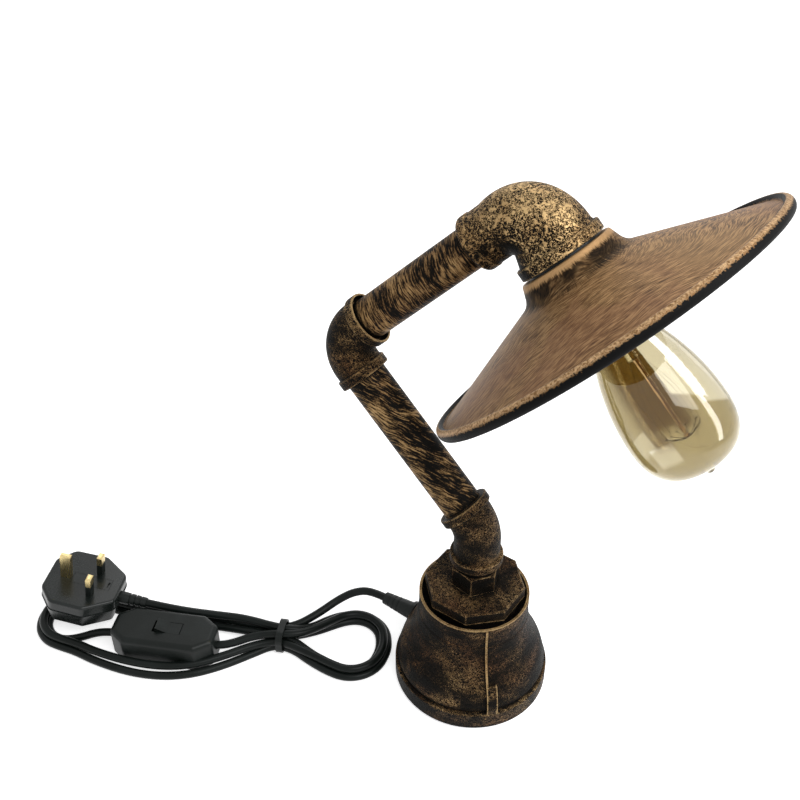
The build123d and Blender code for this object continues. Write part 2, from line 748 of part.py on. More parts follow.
filament_radius = 0.2
filament_start = stem_start + stem_length - 1.0
with BuildPart() as filament:
    for strand in range(hook_count):
        angle = radians(360 / hook_count * strand + 12)
        wire(post_plane, (4.6 * cos(angle), 4.6 * sin(angle), filament_start),
             (hook_reach * cos(angle), hook_reach * sin(angle), post_end + 1.4), filament_radius)
keep(filament, "filament")

# ---------------------------------------------------------------- flex inside the pipes
gland_end_point = Vector(-gland_end, 0, gland_height)
nipple_end = Vector(0, 0, nipple_seat)
lower_joint = low_bend + lower_dir * lower_pipe_end
upper_joint = mid_bend + upper_dir * upper_pipe_end
flex_end = top_bend + head_dir * (holder_place + insert_flange_drop)


def flex(points, radii):
    """A round flex along straight runs joined by tangent arcs."""
    with BuildLine() as line:
        FilletPolyline(*points, radius=radii)
    with BuildSketch(Plane(origin=points[0], z_dir=points[1] - points[0])) as section:
        Circle(flex_radius)
    sweep(section.sketch, path=line.line)


with BuildPart() as flex_base:
    flex([gland_end_point, Vector(0, 0, gland_height), nipple_end], 25.0)
keep(flex_base, "flex_base")

with BuildPart() as flex_lower:
    flex([nipple_end, low_bend, lower_joint], elbow45_bend)
keep(flex_lower, "flex_lower")

with BuildPart() as flex_upper:
    flex([lower_joint, mid_bend, upper_joint], flex_tight_bend)
keep(flex_upper, "flex_upper")

with BuildPart() as flex_head:
    flex([upper_joint, top_bend, flex_end], head_bend)
keep(flex_head, "flex_head")

# ---------------------------------------------------------------- mains lead: hank, tie and free ends
# the hank's frame: +X from the tie towards the lamp, +Y away from its front
tie_dir = Vector(cos(radians(tie_turn)), sin(radians(tie_turn)), 0)
hank_plane = Plane(origin=(tie_x, tie_y, 0), x_dir=tie_dir, z_dir=up)

hank_outline = [(0, 12), (18, 18), (36, 29), (55, 38), (70, 40), (80, 33), (82, 18), (79.5, 4), (80.5, -10),
                (79, -20), (70, -28), (54, -29), (36, -23), (18, -17), (0, -12), (-18, -17), (-40, -37),
                (-66, -47), (-96, -51), (-128, -45), (-160, -35), (-190, -24), (-205, -9), (-202, 6),
                (-184, 14), (-150, 17), (-115, 14), (-80, 13), (-45, 12), (-20, 11)]
right_eye = [(26, 2), (42, 13), (56, 22), (66, 22), (67.5, 8), (67, -6), (60, -15), (46, -14), (34, -6)]
switch_bay = [(-30, -14), (-38, -2), (-60, 2), (-84, 2.5), (-110, 2.5), (-135, 4), (-160, 5), (-182, 3),
              (-187, -6), (-176, -15), (-150, -27), (-124, -36), (-96, -39), (-70, -38.5), (-50, -34),
              (-37, -25)]
bay_right_arm = (-28.0, switch_place + switch_length / 2)
bay_left_arm = (switch_place - switch_length / 2, -163.0)


def closed_curve(points, mode=Mode.ADD):
    """A face inside a smooth closed curve."""
    with BuildLine() as curve:
        Spline(*points, periodic=True)
    make_face(curve.edges(), mode=mode)


def bundle_section(grow=0.0):
    """The tied bundle's rounded section, as a face in the current sketch."""
    return RectangleRounded(bundle_width + 2 * grow, bundle_height + 2 * grow, bundle_corner + grow)


bundle_corner = 5.8
bundle_length = 36.0
bundle_plane = Plane(origin=hank_plane.origin - tie_dir * (tie_width / 2) + up * (tie_lift + bundle_height / 2),
                     x_dir=up.cross(tie_dir), z_dir=tie_dir)

with BuildPart() as cord_tie:
    with BuildSketch(bundle_plane):
        bundle_section(tie_thickness)
        RectangleRounded(bundle_width, bundle_height, bundle_corner, mode=Mode.SUBTRACT)
    extrude(amount=tie_width)
keep(cord_tie, "cord_tie")

with BuildPart() as cord_hank:
    with BuildSketch(hank_plane):
        closed_curve(hank_outline)
        closed_curve(right_eye, Mode.SUBTRACT)
        closed_curve(switch_bay, Mode.SUBTRACT)
        for inner, outer in (bay_right_arm, bay_left_arm):
            with Locations(((inner + outer) / 2, switch_side)):
                Rectangle(abs(outer - inner), 2 * cord_radius)
    extrude(amount=strand_layers_height)
    with BuildSketch(hank_plane.offset(strand_layers_height)):
        closed_curve(hank_outline)
        closed_curve(switch_bay, Mode.SUBTRACT)
        with Locations((raised_end_start - 50, 0)):
            Rectangle(100, 120, mode=Mode.INTERSECT)
    extrude(amount=raised_end_height - strand_layers_height)
    with BuildSketch(hank_plane):
        Rectangle(bundle_length, bundle_width)
    extrude(amount=tie_lift + bundle_height)
    with BuildSketch(bundle_plane):
        Rectangle(4 * bundle_width, 4 * bundle_height)
        RectangleRounded(bundle_width, bundle_height, bundle_corner, mode=Mode.SUBTRACT)
    extrude(amount=tie_width, mode=Mode.SUBTRACT)
keep(cord_hank, "cord_hank")


def corner_radii(points):
    """The largest arc that each corner of a route has room for."""
    radii = []
    for before, corner, after in zip(points, points[1:], points[2:]):
        turn = radians((corner - before).get_angle(after - corner))
        shorter = min((corner - before).length, (after - corner).length)
        radii.append(0.45 * shorter / tan(turn / 2))
    return radii


def lead(route, name):
    """A free stretch of the round cord along a route given in the hank's frame."""
    points = [hank_plane.from_local_coords(Vector(*point)) for point in route]
    radii = corner_radii(points)
    print(name, "radii", [round(radius, 1) for radius in radii])
    with BuildLine():
        path = FilletPolyline(*points, radius=radii)
    print(name, "length", round(path.length, 1))
    with BuildSketch(Plane(origin=points[0], z_dir=points[1] - points[0])) as section:
        Circle(cord_radius)
    sweep(section.sketch, path=path)
    return section.sketch.area * path.length


first_run = 13.0
lamp_end = hank_plane.to_local_coords(gland_end_point)
lamp_turn = hank_plane.to_local_coords(gland_end_point - Vector(first_run, 0, 0))
lamp_route = [(lamp_end.X, lamp_end.Y, lamp_end.Z), (lamp_turn.X, lamp_turn.Y, lamp_turn.Z), (48, 37.6, 25.5),
              (36, 33, 19.5), (23, 20.5, 15.2), (8, 8, 13.4)]
with BuildPart() as cord_lamp_lead:
    expected = lead(lamp_route, "cord_lamp_lead")
print("volume over section times length", round(cord_lamp_lead.part.volume / expected, 4))
keep(cord_lamp_lead, "cord_lamp_lead")

# ---------------------------------------------------------------- plug
# the plug's frame: origin in the pin face, +X towards the cord, +Z out along the pins
plug_along = (tie_dir * cos(radians(plug_tilt)) - up * sin(radians(plug_tilt))).normalized()
plug_out = (tie_dir * sin(radians(plug_tilt)) + up * cos(radians(plug_tilt))).normalized()
plug_plane = Plane(origin=hank_plane.from_local_coords(Vector(plug_place, plug_side, plug_height)),
                   x_dir=plug_along, z_dir=plug_out)
plug_outline = [(-28, -14), (-28, 14), (-17, 26.5), (8, 27), (28, 13.5), (28, -13.5), (8, -27), (-17, -26.5)]
plug_corner = 7.0
live_place = earth_pin_place + pin_spacing
plug_wall = 3.0
fuse_drop = 6.2


def plug_face(grow=0.0):
    """The plug's outline seen from its pins, grown or shrunk."""
    with BuildSketch() as outline:
        Polygon(*plug_outline, align=None)
        fillet(outline.vertices(), radius=plug_corner)
        if grow:
            offset(amount=grow)
    return outline.sketch


def guard_point(station):
    """A point on the cord's axis in the plug, in the hank's frame."""
    place = hank_plane.to_local_coords(plug_plane.from_local_coords(Vector(station, 0, -guard_drop)))
    return (place.X, place.Y, place.Z)


guard_root = plug_outline[4][0] - 7.0
guard_end = plug_outline[4][0] + guard_length
guard_stop = plug_outline[4][0] + 2.0
guard_axis = Axis(plug_plane.from_local_coords(Vector(0, 0, -guard_drop)), plug_along)
guard_profile = profile_plane(guard_axis.position, plug_along, plug_out)
guard_seat = face_plane(guard_axis.position + plug_along * guard_root, plug_along, plug_out)
pin_places = {"line": (live_place, pin_spacing / 2), "neutral": (live_place, -pin_spacing / 2)}
carrier_room = (carrier_length + 2 * slide_gap, carrier_width + 2 * slide_gap)

with BuildPart() as plug_base:
    with BuildSketch(plug_plane.offset(-plug_base_thickness)):
        add(plug_face())
    extrude(amount=plug_base_thickness)
    fillet(plug_base.faces().sort_by(Axis((0, 0, 0), plug_out))[-1].edges(), radius=2.0)
    with BuildSketch(plug_plane):
        with Locations((earth_pin_place, 0)):
            Rectangle(earth_pin_width + 2 * thread_gap, pin_thickness + 2 * thread_gap)
        with Locations(*pin_places.values()):
            Rectangle(pin_thickness + 2 * thread_gap, live_pin_width + 2 * thread_gap)
    extrude(amount=-pin_tail, mode=Mode.SUBTRACT)
    with BuildSketch(plug_plane):
        with Locations((carrier_place, 0)):
            Rectangle(*carrier_room)
    extrude(amount=-carrier_depth - slide_gap, mode=Mode.SUBTRACT)
    with BuildSketch(guard_seat):
        Circle(guard_radius + thread_gap)
    extrude(amount=guard_length, mode=Mode.SUBTRACT)
keep(plug_base, "plug_base")

with BuildPart() as plug_cover:
    with BuildSketch(plug_plane.offset(-plug_base_thickness)):
        add(plug_face(0.5))
    extrude(amount=plug_base_thickness - plug_thickness, taper=plug_taper)
    fillet(plug_cover.faces().sort_by(Axis((0, 0, 0), plug_out))[0].edges(), radius=2.5)
    with BuildSketch(plug_plane.offset(-plug_base_thickness)):
        add(plug_face(-plug_wall))
    extrude(amount=plug_base_thickness - plug_thickness + plug_wall, taper=plug_taper, mode=Mode.SUBTRACT)
    with BuildSketch(guard_seat):
        Circle(guard_radius + thread_gap)
    extrude(amount=guard_length, mode=Mode.SUBTRACT)
keep(plug_cover, "plug_cover")

with BuildPart() as plug_cord_guard:
    with BuildSketch(guard_profile):
        Polygon((0, guard_root), (guard_radius, guard_root), (guard_radius, guard_stop + 2),
                (guard_end_radius, guard_end), (cord_radius + thread_gap, guard_end),
                (cord_radius + thread_gap, guard_stop), (0, guard_stop), align=None)
    revolve(axis=guard_axis)
    for station in (guard_stop + 5, guard_stop + 9, guard_stop + 13):
        with BuildSketch(face_plane(guard_axis.position + plug_along * station, plug_along, plug_out)):
            Circle(guard_radius + 1)
            Circle(guard_end_radius - 0.4, mode=Mode.SUBTRACT)
        extrude(amount=1.2, mode=Mode.SUBTRACT)
keep(plug_cord_guard, "plug_cord_guard")

with BuildPart() as earth_pin:
    with BuildSketch(plug_plane.offset(-pin_tail)):
        with Locations((earth_pin_place, 0)):
            Rectangle(earth_pin_width, pin_thickness)
    extrude(amount=pin_tail + earth_pin_length)
    chamfer(earth_pin.faces().sort_by(Axis((0, 0, 0), plug_out))[-1].edges(), length=1.0)
keep(earth_pin, "earth_pin")

for name, place in pin_places.items():
    with BuildPart() as contact_pin:
        with BuildSketch(plug_plane.offset(-pin_tail)):
            with Locations(place):
                Rectangle(pin_thickness, live_pin_width)
        extrude(amount=pin_tail + live_pin_length)
        chamfer(contact_pin.faces().sort_by(Axis((0, 0, 0), plug_out))[-1].edges(), length=1.0)
        with BuildSketch(plug_plane):
            with Locations(place):
                Rectangle(pin_thickness + 1, live_pin_width + 1)
                Rectangle(pin_thickness - 2 * sleeve_wall, live_pin_width - 2 * sleeve_wall, mode=Mode.SUBTRACT)
        extrude(amount=sleeve_length, mode=Mode.SUBTRACT)
    keep(contact_pin, f"{name}_pin")

with BuildPart() as pin_sleeves:
    with BuildSketch(plug_plane):
        with Locations(*pin_places.values()):
            Rectangle(pin_thickness, live_pin_width)
            Rectangle(pin_thickness - 2 * sleeve_wall, live_pin_width - 2 * sleeve_wall, mode=Mode.SUBTRACT)
    extrude(amount=sleeve_length)
keep(pin_sleeves, "pin_sleeves")

fuse_axis_plane = Plane(origin=plug_plane.from_local_coords(Vector(carrier_place, 0, -fuse_drop)),
                        x_dir=plug_out, z_dir=plug_along)
with BuildPart() as fuse_carrier:
    with BuildSketch(plug_plane):
        with Locations((carrier_place, 0)):
            Rectangle(carrier_length, carrier_width)
    extrude(amount=-carrier_depth)
    with BuildSketch(fuse_axis_plane.offset(-fuse_length / 2)):
        Circle(fuse_radius + thread_gap)
        with Locations((-carrier_depth, 0)):
            Rectangle(2 * carrier_depth, 2 * (fuse_radius + thread_gap))
    extrude(amount=fuse_length, mode=Mode.SUBTRACT)
    with BuildSketch(plug_plane):
        with Locations((carrier_place + carrier_length / 2 - 1.5, 0)):
            Rectangle(1.4, 5.0)
    extrude(amount=-1.2, mode=Mode.SUBTRACT)
keep(fuse_carrier, "fuse_carrier")

fuse_cap_length = 6.0
fuse_tube_radius = fuse_radius - 0.3
with BuildPart() as fuse_body:
    with BuildSketch(fuse_axis_plane.offset(fuse_cap_length - fuse_length / 2)):
        Circle(fuse_tube_radius)
    extrude(amount=fuse_length - 2 * fuse_cap_length)
keep(fuse_body, "fuse_body")

with BuildPart() as fuse_caps:
    for start in (-fuse_length / 2, fuse_length / 2 - fuse_cap_length):
        with BuildSketch(fuse_axis_plane.offset(start)):
            Circle(fuse_radius)
        extrude(amount=fuse_cap_length)
keep(fuse_caps, "fuse_caps")

plug_route = [(-10, 5, 13.4), (-30, 7.5, 14.9), (-52, 7, 15.2), (-76.5, 5.2, 17.4), guard_point(guard_end + 4),
              guard_point(guard_stop)]
with BuildPart() as cord_plug_lead:
    expected = lead(plug_route, "cord_plug_lead")
print("volume over section times length", round(cord_plug_lead.part.volume / expected, 4))
keep(cord_plug_lead, "cord_plug_lead")

# ---------------------------------------------------------------- inline rocker switch
# the switch's frame: +X along the hank towards the lamp, origin on the table under its middle
switch_plane = Plane(origin=hank_plane.from_local_coords(Vector(switch_place, switch_side, 0)),
                     x_dir=tie_dir, z_dir=up)
end_taper = 12.0
switch_floor = switch_wall
half_length = switch_length / 2
half_end = switch_end_width / 2
half_width = switch_width / 2
switch_outline = [(-half_length, -half_end), (-half_length, half_end), (end_taper - half_length, half_width),
                  (half_length - end_taper, half_width), (half_length, half_end), (half_length, -half_end),
                  (half_length - end_taper, -half_width), (end_taper - half_length, -half_width)]
rocker_place = 3.0
rocker_pin_height = 20.3
rocker_window = (21.4, rocker_width + 2 * slide_gap)
cheek_thickness = 2.4
screw_places = [(-22.0, 11.0), (22.0, -11.0)]
screw_radius = 1.4
boss_radius = 3.2
terminal_place = 20.0
terminal_size = 6.0


def switch_face(grow=0.0):
    """The switch's outline seen from above, grown or shrunk."""
    with BuildSketch() as outline:
        Polygon(*switch_outline, align=None)
        fillet(outline.vertices(), radius=4.5)
        if grow:
            offset(amount=grow)
    return outline.sketch


cord_way = Plane(origin=switch_plane.from_local_coords(Vector(-half_length, 0, switch_split)),
                 x_dir=up, z_dir=tie_dir)

with BuildPart() as switch_base:
    with BuildSketch(switch_plane):
        add(switch_face())
    extrude(amount=switch_split)
    chamfer(switch_base.faces().sort_by(Axis.Z)[0].edges(), length=1.2)
    with BuildSketch(switch_plane.offset(switch_floor)):
        add(switch_face(-switch_wall))
    extrude(amount=switch_split, mode=Mode.SUBTRACT)
    with BuildSketch(switch_plane.offset(switch_floor)):
        with Locations(*screw_places):
            Circle(boss_radius)
    extrude(amount=switch_split - switch_floor)
    with BuildSketch(switch_plane):
        with Locations(*screw_places):
            Circle(screw_radius + thread_gap)
    extrude(amount=switch_split, mode=Mode.SUBTRACT)
    with BuildSketch(switch_plane):
        with Locations(*screw_places):
            Circle(2.7)
    extrude(amount=1.8, mode=Mode.SUBTRACT)
    with BuildSketch(cord_way):
        Circle(cord_radius + thread_gap)
    extrude(amount=switch_length, mode=Mode.SUBTRACT)
keep(switch_base, "switch_base")

with BuildPart() as switch_cover:
    with BuildSketch(switch_plane.offset(switch_split)):
        add(switch_face())
    extrude(amount=switch_height - switch_split)
    fillet(switch_cover.faces().sort_by(Axis.Z)[-1].edges(), radius=4.0)
    with BuildSketch(switch_plane.offset(switch_split)):
        add(switch_face(-switch_wall))
    extrude(amount=switch_height - switch_split - switch_wall, mode=Mode.SUBTRACT)
    with BuildSketch(switch_plane.offset(switch_split)):
        with Locations(*screw_places):
            Circle(boss_radius)
        with Locations((rocker_place, rocker_window[1] / 2 + cheek_thickness / 2),
                       (rocker_place, -rocker_window[1] / 2 - cheek_thickness / 2)):
            Rectangle(8.0, cheek_thickness)
    extrude(amount=switch_height - switch_split - 1.0)
    with BuildSketch(switch_plane.offset(switch_split)):
        with Locations(*screw_places):
            Circle(screw_radius + thread_gap)
    extrude(amount=7.0, mode=Mode.SUBTRACT)
    with BuildSketch(switch_plane.offset(switch_split)):
        with Locations((rocker_place, 0)):
            Rectangle(*rocker_window)
    extrude(amount=switch_height, mode=Mode.SUBTRACT)
    pin_plane = Plane(origin=switch_plane.from_local_coords(Vector(rocker_place, 0, rocker_pin_height)),
                      x_dir=tie_dir, z_dir=tie_dir.cross(up))
    with BuildSketch(pin_plane):
        Circle(rocker_pin_radius + thread_gap)
    extrude(amount=rocker_window[1] / 2 + cheek_thickness, both=True, mode=Mode.SUBTRACT)
    with BuildSketch(cord_way):
        Circle(cord_radius + thread_gap)
    extrude(amount=switch_length, mode=Mode.SUBTRACT)
keep(switch_cover, "switch_cover")

with BuildPart() as rocker_pin:
    with BuildSketch(pin_plane):
        Circle(rocker_pin_radius)
    extrude(amount=rocker_window[1] / 2 + cheek_thickness, both=True)
keep(rocker_pin, "rocker_pin")

rocker_along = tie_dir * cos(radians(rocker_tilt)) - up * sin(radians(rocker_tilt))
rocker_plane = Plane(origin=pin_plane.origin, x_dir=rocker_along, z_dir=tie_dir.cross(up))
with BuildPart() as rocker:
    with BuildSketch(rocker_plane) as rocker_side:
        half_rocker = rocker_length / 2
        Polygon((-half_rocker, -2.0), (-half_rocker, 5.6), (0, 3.6), (half_rocker, 5.6), (half_rocker, -2.0),
                (3.5, -5.5), (-3.5, -5.5), align=None)
        fillet(rocker_side.vertices().group_by(Axis.Y)[-1], radius=0.8)
        Circle(rocker_pin_radius + swivel_gap, mode=Mode.SUBTRACT)
    extrude(amount=rocker_width / 2, both=True)
keep(rocker, "rocker")

with BuildPart() as switch_terminals:
    with BuildSketch(switch_plane.offset(switch_floor)):
        with Locations((-terminal_place, 0), (terminal_place, 0)):
            Rectangle(terminal_size * 1.5, terminal_size)
    extrude(amount=terminal_size - 0.6)
keep(switch_terminals, "switch_terminals")

blade_top = switch_floor + terminal_size - 0.6
with BuildPart() as switch_contacts:
    with BuildSketch(switch_plane.offset(blade_top)):
        with Locations((rocker_place - 12.0, 0), (rocker_place + 11.0, 0)):
            Rectangle(17.0, 4.0)
    extrude(amount=0.6)
keep(switch_contacts, "switch_contacts")

with BuildPart() as switch_screws:
    with BuildSketch(switch_plane.offset(0.5)):
        with Locations(*screw_places):
            Circle(2.5)
    extrude(amount=1.3)
    with BuildSketch(switch_plane.offset(0.5)):
        with Locations(*screw_places):
            Circle(screw_radius)
    extrude(amount=switch_split + 5.0)
keep(switch_screws, "switch_screws")
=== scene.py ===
"""Industrial pipe table lamp: finishes, bulb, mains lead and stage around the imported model."""

import json
from math import cos, pi, radians, sin

import bpy
from bpy.props import FloatProperty, FloatVectorProperty, IntProperty, PointerProperty
from mathutils import Matrix, Vector


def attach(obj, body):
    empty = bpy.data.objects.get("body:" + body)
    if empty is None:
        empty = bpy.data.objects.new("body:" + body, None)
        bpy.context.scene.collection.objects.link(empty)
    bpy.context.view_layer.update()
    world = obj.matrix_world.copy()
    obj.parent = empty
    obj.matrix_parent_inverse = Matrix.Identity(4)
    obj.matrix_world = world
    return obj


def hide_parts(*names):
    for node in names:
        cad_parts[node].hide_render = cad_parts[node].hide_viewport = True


bl_info = {
    "name": "Industrial Pipe Table Lamp",
    "version": (1, 0, 0),
    "blender": (4, 5, 0),
    "location": "3D View > Sidebar > Pipe Lamp",
    "description": "Dresses a pipe-fitting table lamp with its finishes, bulb, lead and stage",
    "category": "Object",
}

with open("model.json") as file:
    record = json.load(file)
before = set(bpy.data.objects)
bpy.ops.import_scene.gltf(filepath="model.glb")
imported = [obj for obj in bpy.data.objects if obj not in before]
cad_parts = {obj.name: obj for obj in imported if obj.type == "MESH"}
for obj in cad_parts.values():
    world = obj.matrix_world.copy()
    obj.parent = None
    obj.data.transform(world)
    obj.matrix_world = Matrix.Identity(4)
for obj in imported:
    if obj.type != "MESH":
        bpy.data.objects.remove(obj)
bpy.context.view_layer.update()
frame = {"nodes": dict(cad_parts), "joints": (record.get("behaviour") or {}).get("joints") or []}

# ---- places that the frame gives
joints = {row["name"]: row for row in frame["joints"]}
LOWER_DIR = Vector(joints["elbow_swivel"]["axis"]).normalized()
UPPER_DIR = Vector(joints["head_swivel"]["axis"]).normalized()
HEAD_DIR = Vector(joints["bulb_unscrew"]["axis"]).normalized()
LOW_BEND = Vector(joints["base_swivel"]["pos_m"])
MID_BEND = Vector(joints["elbow_swivel"]["pos_m"])
TOP_BEND = Vector(joints["head_swivel"]["pos_m"])
UP = Vector((0, 0, 1))
PAINTED_LIGHT_SIDE = Vector((0.25, -0.35, 0.9)).normalized()      # the side painted with most bronze, as painted light from above and in front
MM = 0.001

SHADE_TOP = 0.035            # from the head elbow's bend to the top of the shade
CAP_TIP = 0.048              # from the same bend to the bulb cap's contact
POST_END = 0.113             # from the cap's contact to the end of the bulb's post
STEM_END = 0.0575            # from the same contact to the top of the glass stem, where the strands start

CAMERA_PLACE = Vector((0.23853, -0.45717, 0.63501))
CAMERA_LOOK = Vector((-0.4370, 0.6666, -0.6039)).normalized()
CAMERA_RIGHT = CAMERA_LOOK.cross(UP).normalized()
TOWARDS_CAMERA = -CAMERA_LOOK
CAMERA_LENS = 48.55
CAMERA_SENSOR = 36.0
WINDOW_TURN = radians(33.0)  # where round the bulb its highlight lies, from the front to the right

# ---- values that several finishes share
BRONZE_METALLIC = 0.5
BRONZE_SPECULAR = 0.04
PAINTED_LIGHT_LEAST = -0.3           # the least that the side away from the painted light counts
EDGE_SAMPLES = 6             # rays that look for edges and hollows
GLOSS_SPREAD = 0.08          # how far an even finish's roughness strays to each side

# ---- node helpers


class Tree:
    """Short calls for the nodes and links of one node tree."""

    def __init__(self, tree):
        self.tree = tree

    def add(self, kind, sockets=None, **settings):
        made = self.tree.nodes.new(kind)
        for name, value in settings.items():
            setattr(made, name, value)
        for socket, value in (sockets or {}).items():
            self.put(made.inputs[socket], value)
        return made

    def put(self, socket, value):
        if isinstance(value, bpy.types.NodeSocket):
            self.tree.links.new(value, socket)
        else:
            socket.default_value = value

    def math(self, operation, first, second=0.0, clamp=False):
        made = self.add("ShaderNodeMath", {0: first, 1: second}, operation=operation, use_clamp=clamp)
        return made.outputs[0]

    def plus(self, first, second):
        return self.math("ADD", first, second)

    def minus(self, first, second, clamp=False):
        return self.math("SUBTRACT", first, second, clamp)

    def times(self, first, second, clamp=False):
        return self.math("MULTIPLY", first, second, clamp)

    def vector(self, operation, first, second=(0.0, 0.0, 0.0)):
        made = self.add("ShaderNodeVectorMath", {0: first, 1: second}, operation=operation)
        return made.outputs[1] if operation in {"DOT_PRODUCT", "LENGTH", "DISTANCE"} else made.outputs[0]

    def join(self, x, y, z):
        return self.add("ShaderNodeCombineXYZ", {0: x, 1: y, 2: z}).outputs[0]

    def split(self, vector):
        return self.add("ShaderNodeSeparateXYZ", {0: vector}).outputs

    def scaled(self, vector, factor):
        made = self.add("ShaderNodeVectorMath", {0: vector, "Scale": factor}, operation="SCALE")
        return made.outputs[0]

    def noise(self, vector, scale, detail=2.0, roughness=0.5, distortion=0.0):
        made = self.add("ShaderNodeTexNoise", {"Vector": vector, "Scale": scale, "Detail": detail,
                                               "Roughness": roughness, "Distortion": distortion})
        return made.outputs["Fac"]

    def step(self, value, low, high):
        """0 below low and 1 above high, smoothly; the other way round where low is above high."""
        made = self.add("ShaderNodeMapRange", {"Value": value, "From Min": low, "From Max": high},
                        interpolation_type="SMOOTHSTEP")
        return made.outputs["Result"]

    def between(self, value, low, high):
        made = self.add("ShaderNodeMapRange", {"Value": value, "To Min": low, "To Max": high})
        return made.outputs["Result"]

    def mix(self, factor, first, second):
        """Two colours mixed."""
        made = self.add("ShaderNodeMix", {0: factor, 6: first, 7: second}, data_type="RGBA")
        return made.outputs[2]

    def mix_values(self, factor, first, second):
        return self.add("ShaderNodeMix", {0: factor, 2: first, 3: second}).outputs[0]

    def seen_directly(self):
        """1 where the camera sees a surface itself, in a mirror or through glass."""
        ray = self.add("ShaderNodeLightPath").outputs
        through = self.math("MAXIMUM", ray["Is Glossy Ray"], ray["Is Transmission Ray"])
        return self.math("MAXIMUM", ray["Is Camera Ray"], through)

    def ramp(self, value, stops):
        made = self.add("ShaderNodeValToRGB", {0: value})
        elements = made.color_ramp.elements
        elements[0].position, elements[1].position = stops[0][0], stops[-1][0]
        elements[0].color, elements[1].color = solid(stops[0][1]), solid(stops[-1][1])
        for position, colour in stops[1:-1]:
            elements.new(position).color = solid(colour)
        return made.outputs[0]

    def group(self, name, **inputs):
        """The outputs of a shared node group placed here."""
        made = self.add("ShaderNodeGroup", node_tree=shared_groups()[name])
        for socket, value in inputs.items():
            self.put(made.inputs[socket.replace("_", " ")], value)
        return made.outputs


def solid(colour):
    return (*colour[:3], 1.0)


def new_group(name, inputs, outputs):
    """A shader node group with named sockets: its tree, its input sockets and its output node."""
    group = bpy.data.node_groups.new(name, "ShaderNodeTree")
    for socket_name, kind in inputs.items():
        group.interface.new_socket(socket_name, in_out="INPUT", socket_type=kind)
    for socket_name, kind in outputs.items():
        group.interface.new_socket(socket_name, in_out="OUTPUT", socket_type=kind)
    tree = Tree(group)
    return group, tree, tree.add("NodeGroupInput").outputs, tree.add("NodeGroupOutput").inputs


FLOAT, VECTOR = "NodeSocketFloat", "NodeSocketVector"


def turned_group():
    """Distances along and from an axis, and the direction round it, for anything turned or drawn."""
    group, tree, given, out = new_group(
        "Lamp Turned", {"Vector": VECTOR, "Origin": VECTOR, "Axis": VECTOR, "Side": VECTOR},
        {"Along": FLOAT, "Radius": FLOAT, "Round": VECTOR, "Flat": VECTOR, "Outward": VECTOR})
    from_origin = tree.vector("SUBTRACT", given["Vector"], given["Origin"])
    third = tree.vector("CROSS_PRODUCT", given["Axis"], given["Side"])
    along = tree.vector("DOT_PRODUCT", from_origin, given["Axis"])
    across = tree.vector("DOT_PRODUCT", from_origin, given["Side"])
    beside = tree.vector("DOT_PRODUCT", from_origin, third)
    flat = tree.join(across, beside, 0.0)
    level = tree.vector("SUBTRACT", from_origin, tree.scaled(given["Axis"], along))
    tree.put(out["Along"], along)
    tree.put(out["Radius"], tree.vector("LENGTH", flat))
    tree.put(out["Round"], tree.vector("NORMALIZE", flat))
    tree.put(out["Flat"], tree.join(across, beside, along))
    tree.put(out["Outward"], tree.vector("NORMALIZE", level))
    return group


def worn_group():
    """Masks for the sharp outer edges that are rubbed bright, and for hollows and places where parts meet:
    black undercoat left in the hollows, and painted shade there and where parts meet.
    """
    group, tree, given, out = new_group(
        "Lamp Wear And Painted Shade", {"Vector": VECTOR, "Edge Reach": FLOAT, "Hollow Reach": FLOAT},
        {"Edge": FLOAT, "Hollow": FLOAT})
    ragged = tree.times(tree.minus(tree.noise(given["Vector"], 260, 3.0), 0.5), 0.55)
    inside = tree.add("ShaderNodeAmbientOcclusion", {"Distance": given["Edge Reach"]},
                      samples=EDGE_SAMPLES, inside=True, only_local=True)
    edge = tree.plus(tree.minus(1.0, inside.outputs["AO"]), ragged)
    tree.put(out["Edge"], tree.step(edge, 0.11, 0.4))
    # painted shade from all nearby surfaces, this part's and other parts', which also stands for black
    # undercoat left in hollows
    outside = tree.add("ShaderNodeAmbientOcclusion", {"Distance": given["Hollow Reach"]},
                       samples=EDGE_SAMPLES)
    hollow = tree.plus(tree.minus(1.0, outside.outputs["AO"]), ragged)
    tree.put(out["Hollow"], tree.step(hollow, 0.22, 0.62))
    return group


def wormy_group():
    """The wrinkled black undercoat: winding crests, winding cracks between plates, and broad patches."""
    group, tree, given, out = new_group(
        "Lamp Wrinkle", {"Vector": VECTOR, "Scale": FLOAT},
        {"Ridge": FLOAT, "Plate": FLOAT, "Patches": FLOAT})
    winding = tree.noise(given["Vector"], given["Scale"], 2.4, 0.6, 1.1)
    fold = tree.math("ABSOLUTE", tree.minus(winding, 0.5))
    ridge = tree.minus(1.0, tree.times(fold, 10.0), clamp=True)
    tree.put(out["Ridge"], ridge)
    healed = tree.step(tree.noise(given["Vector"], 300.0, 2.0, 0.5), 0.5, 0.66)
    plate = tree.math("MAXIMUM", tree.times(fold, 9.0, clamp=True), healed)
    tree.put(out["Plate"], plate)
    level = tree.vector("MULTIPLY", given["Vector"], (1.0, 1.0, 2.1))
    tree.put(out["Patches"], tree.noise(level, 34.0, 4.0, 0.62, 0.5))
    return group


def handling_group():
    """Slow and fine unevenness that every finish has: smears of polish, dust and pores."""
    group, tree, given, out = new_group(
        "Lamp Handling", {"Vector": VECTOR, "Grain": FLOAT}, {"Smear": FLOAT, "Pores": FLOAT})
    tree.put(out["Smear"], tree.noise(given["Vector"], 26.0, 3.0, 0.55, 0.4))
    tree.put(out["Pores"], tree.noise(given["Vector"], given["Grain"], 2.0, 0.6))
    return group


groups = {}


def shared_groups():
    """The node groups, built once."""
    if not groups:
        groups.update(turned=turned_group(), worn=worn_group(), wormy=wormy_group(),
                      handling=handling_group())
    return groups


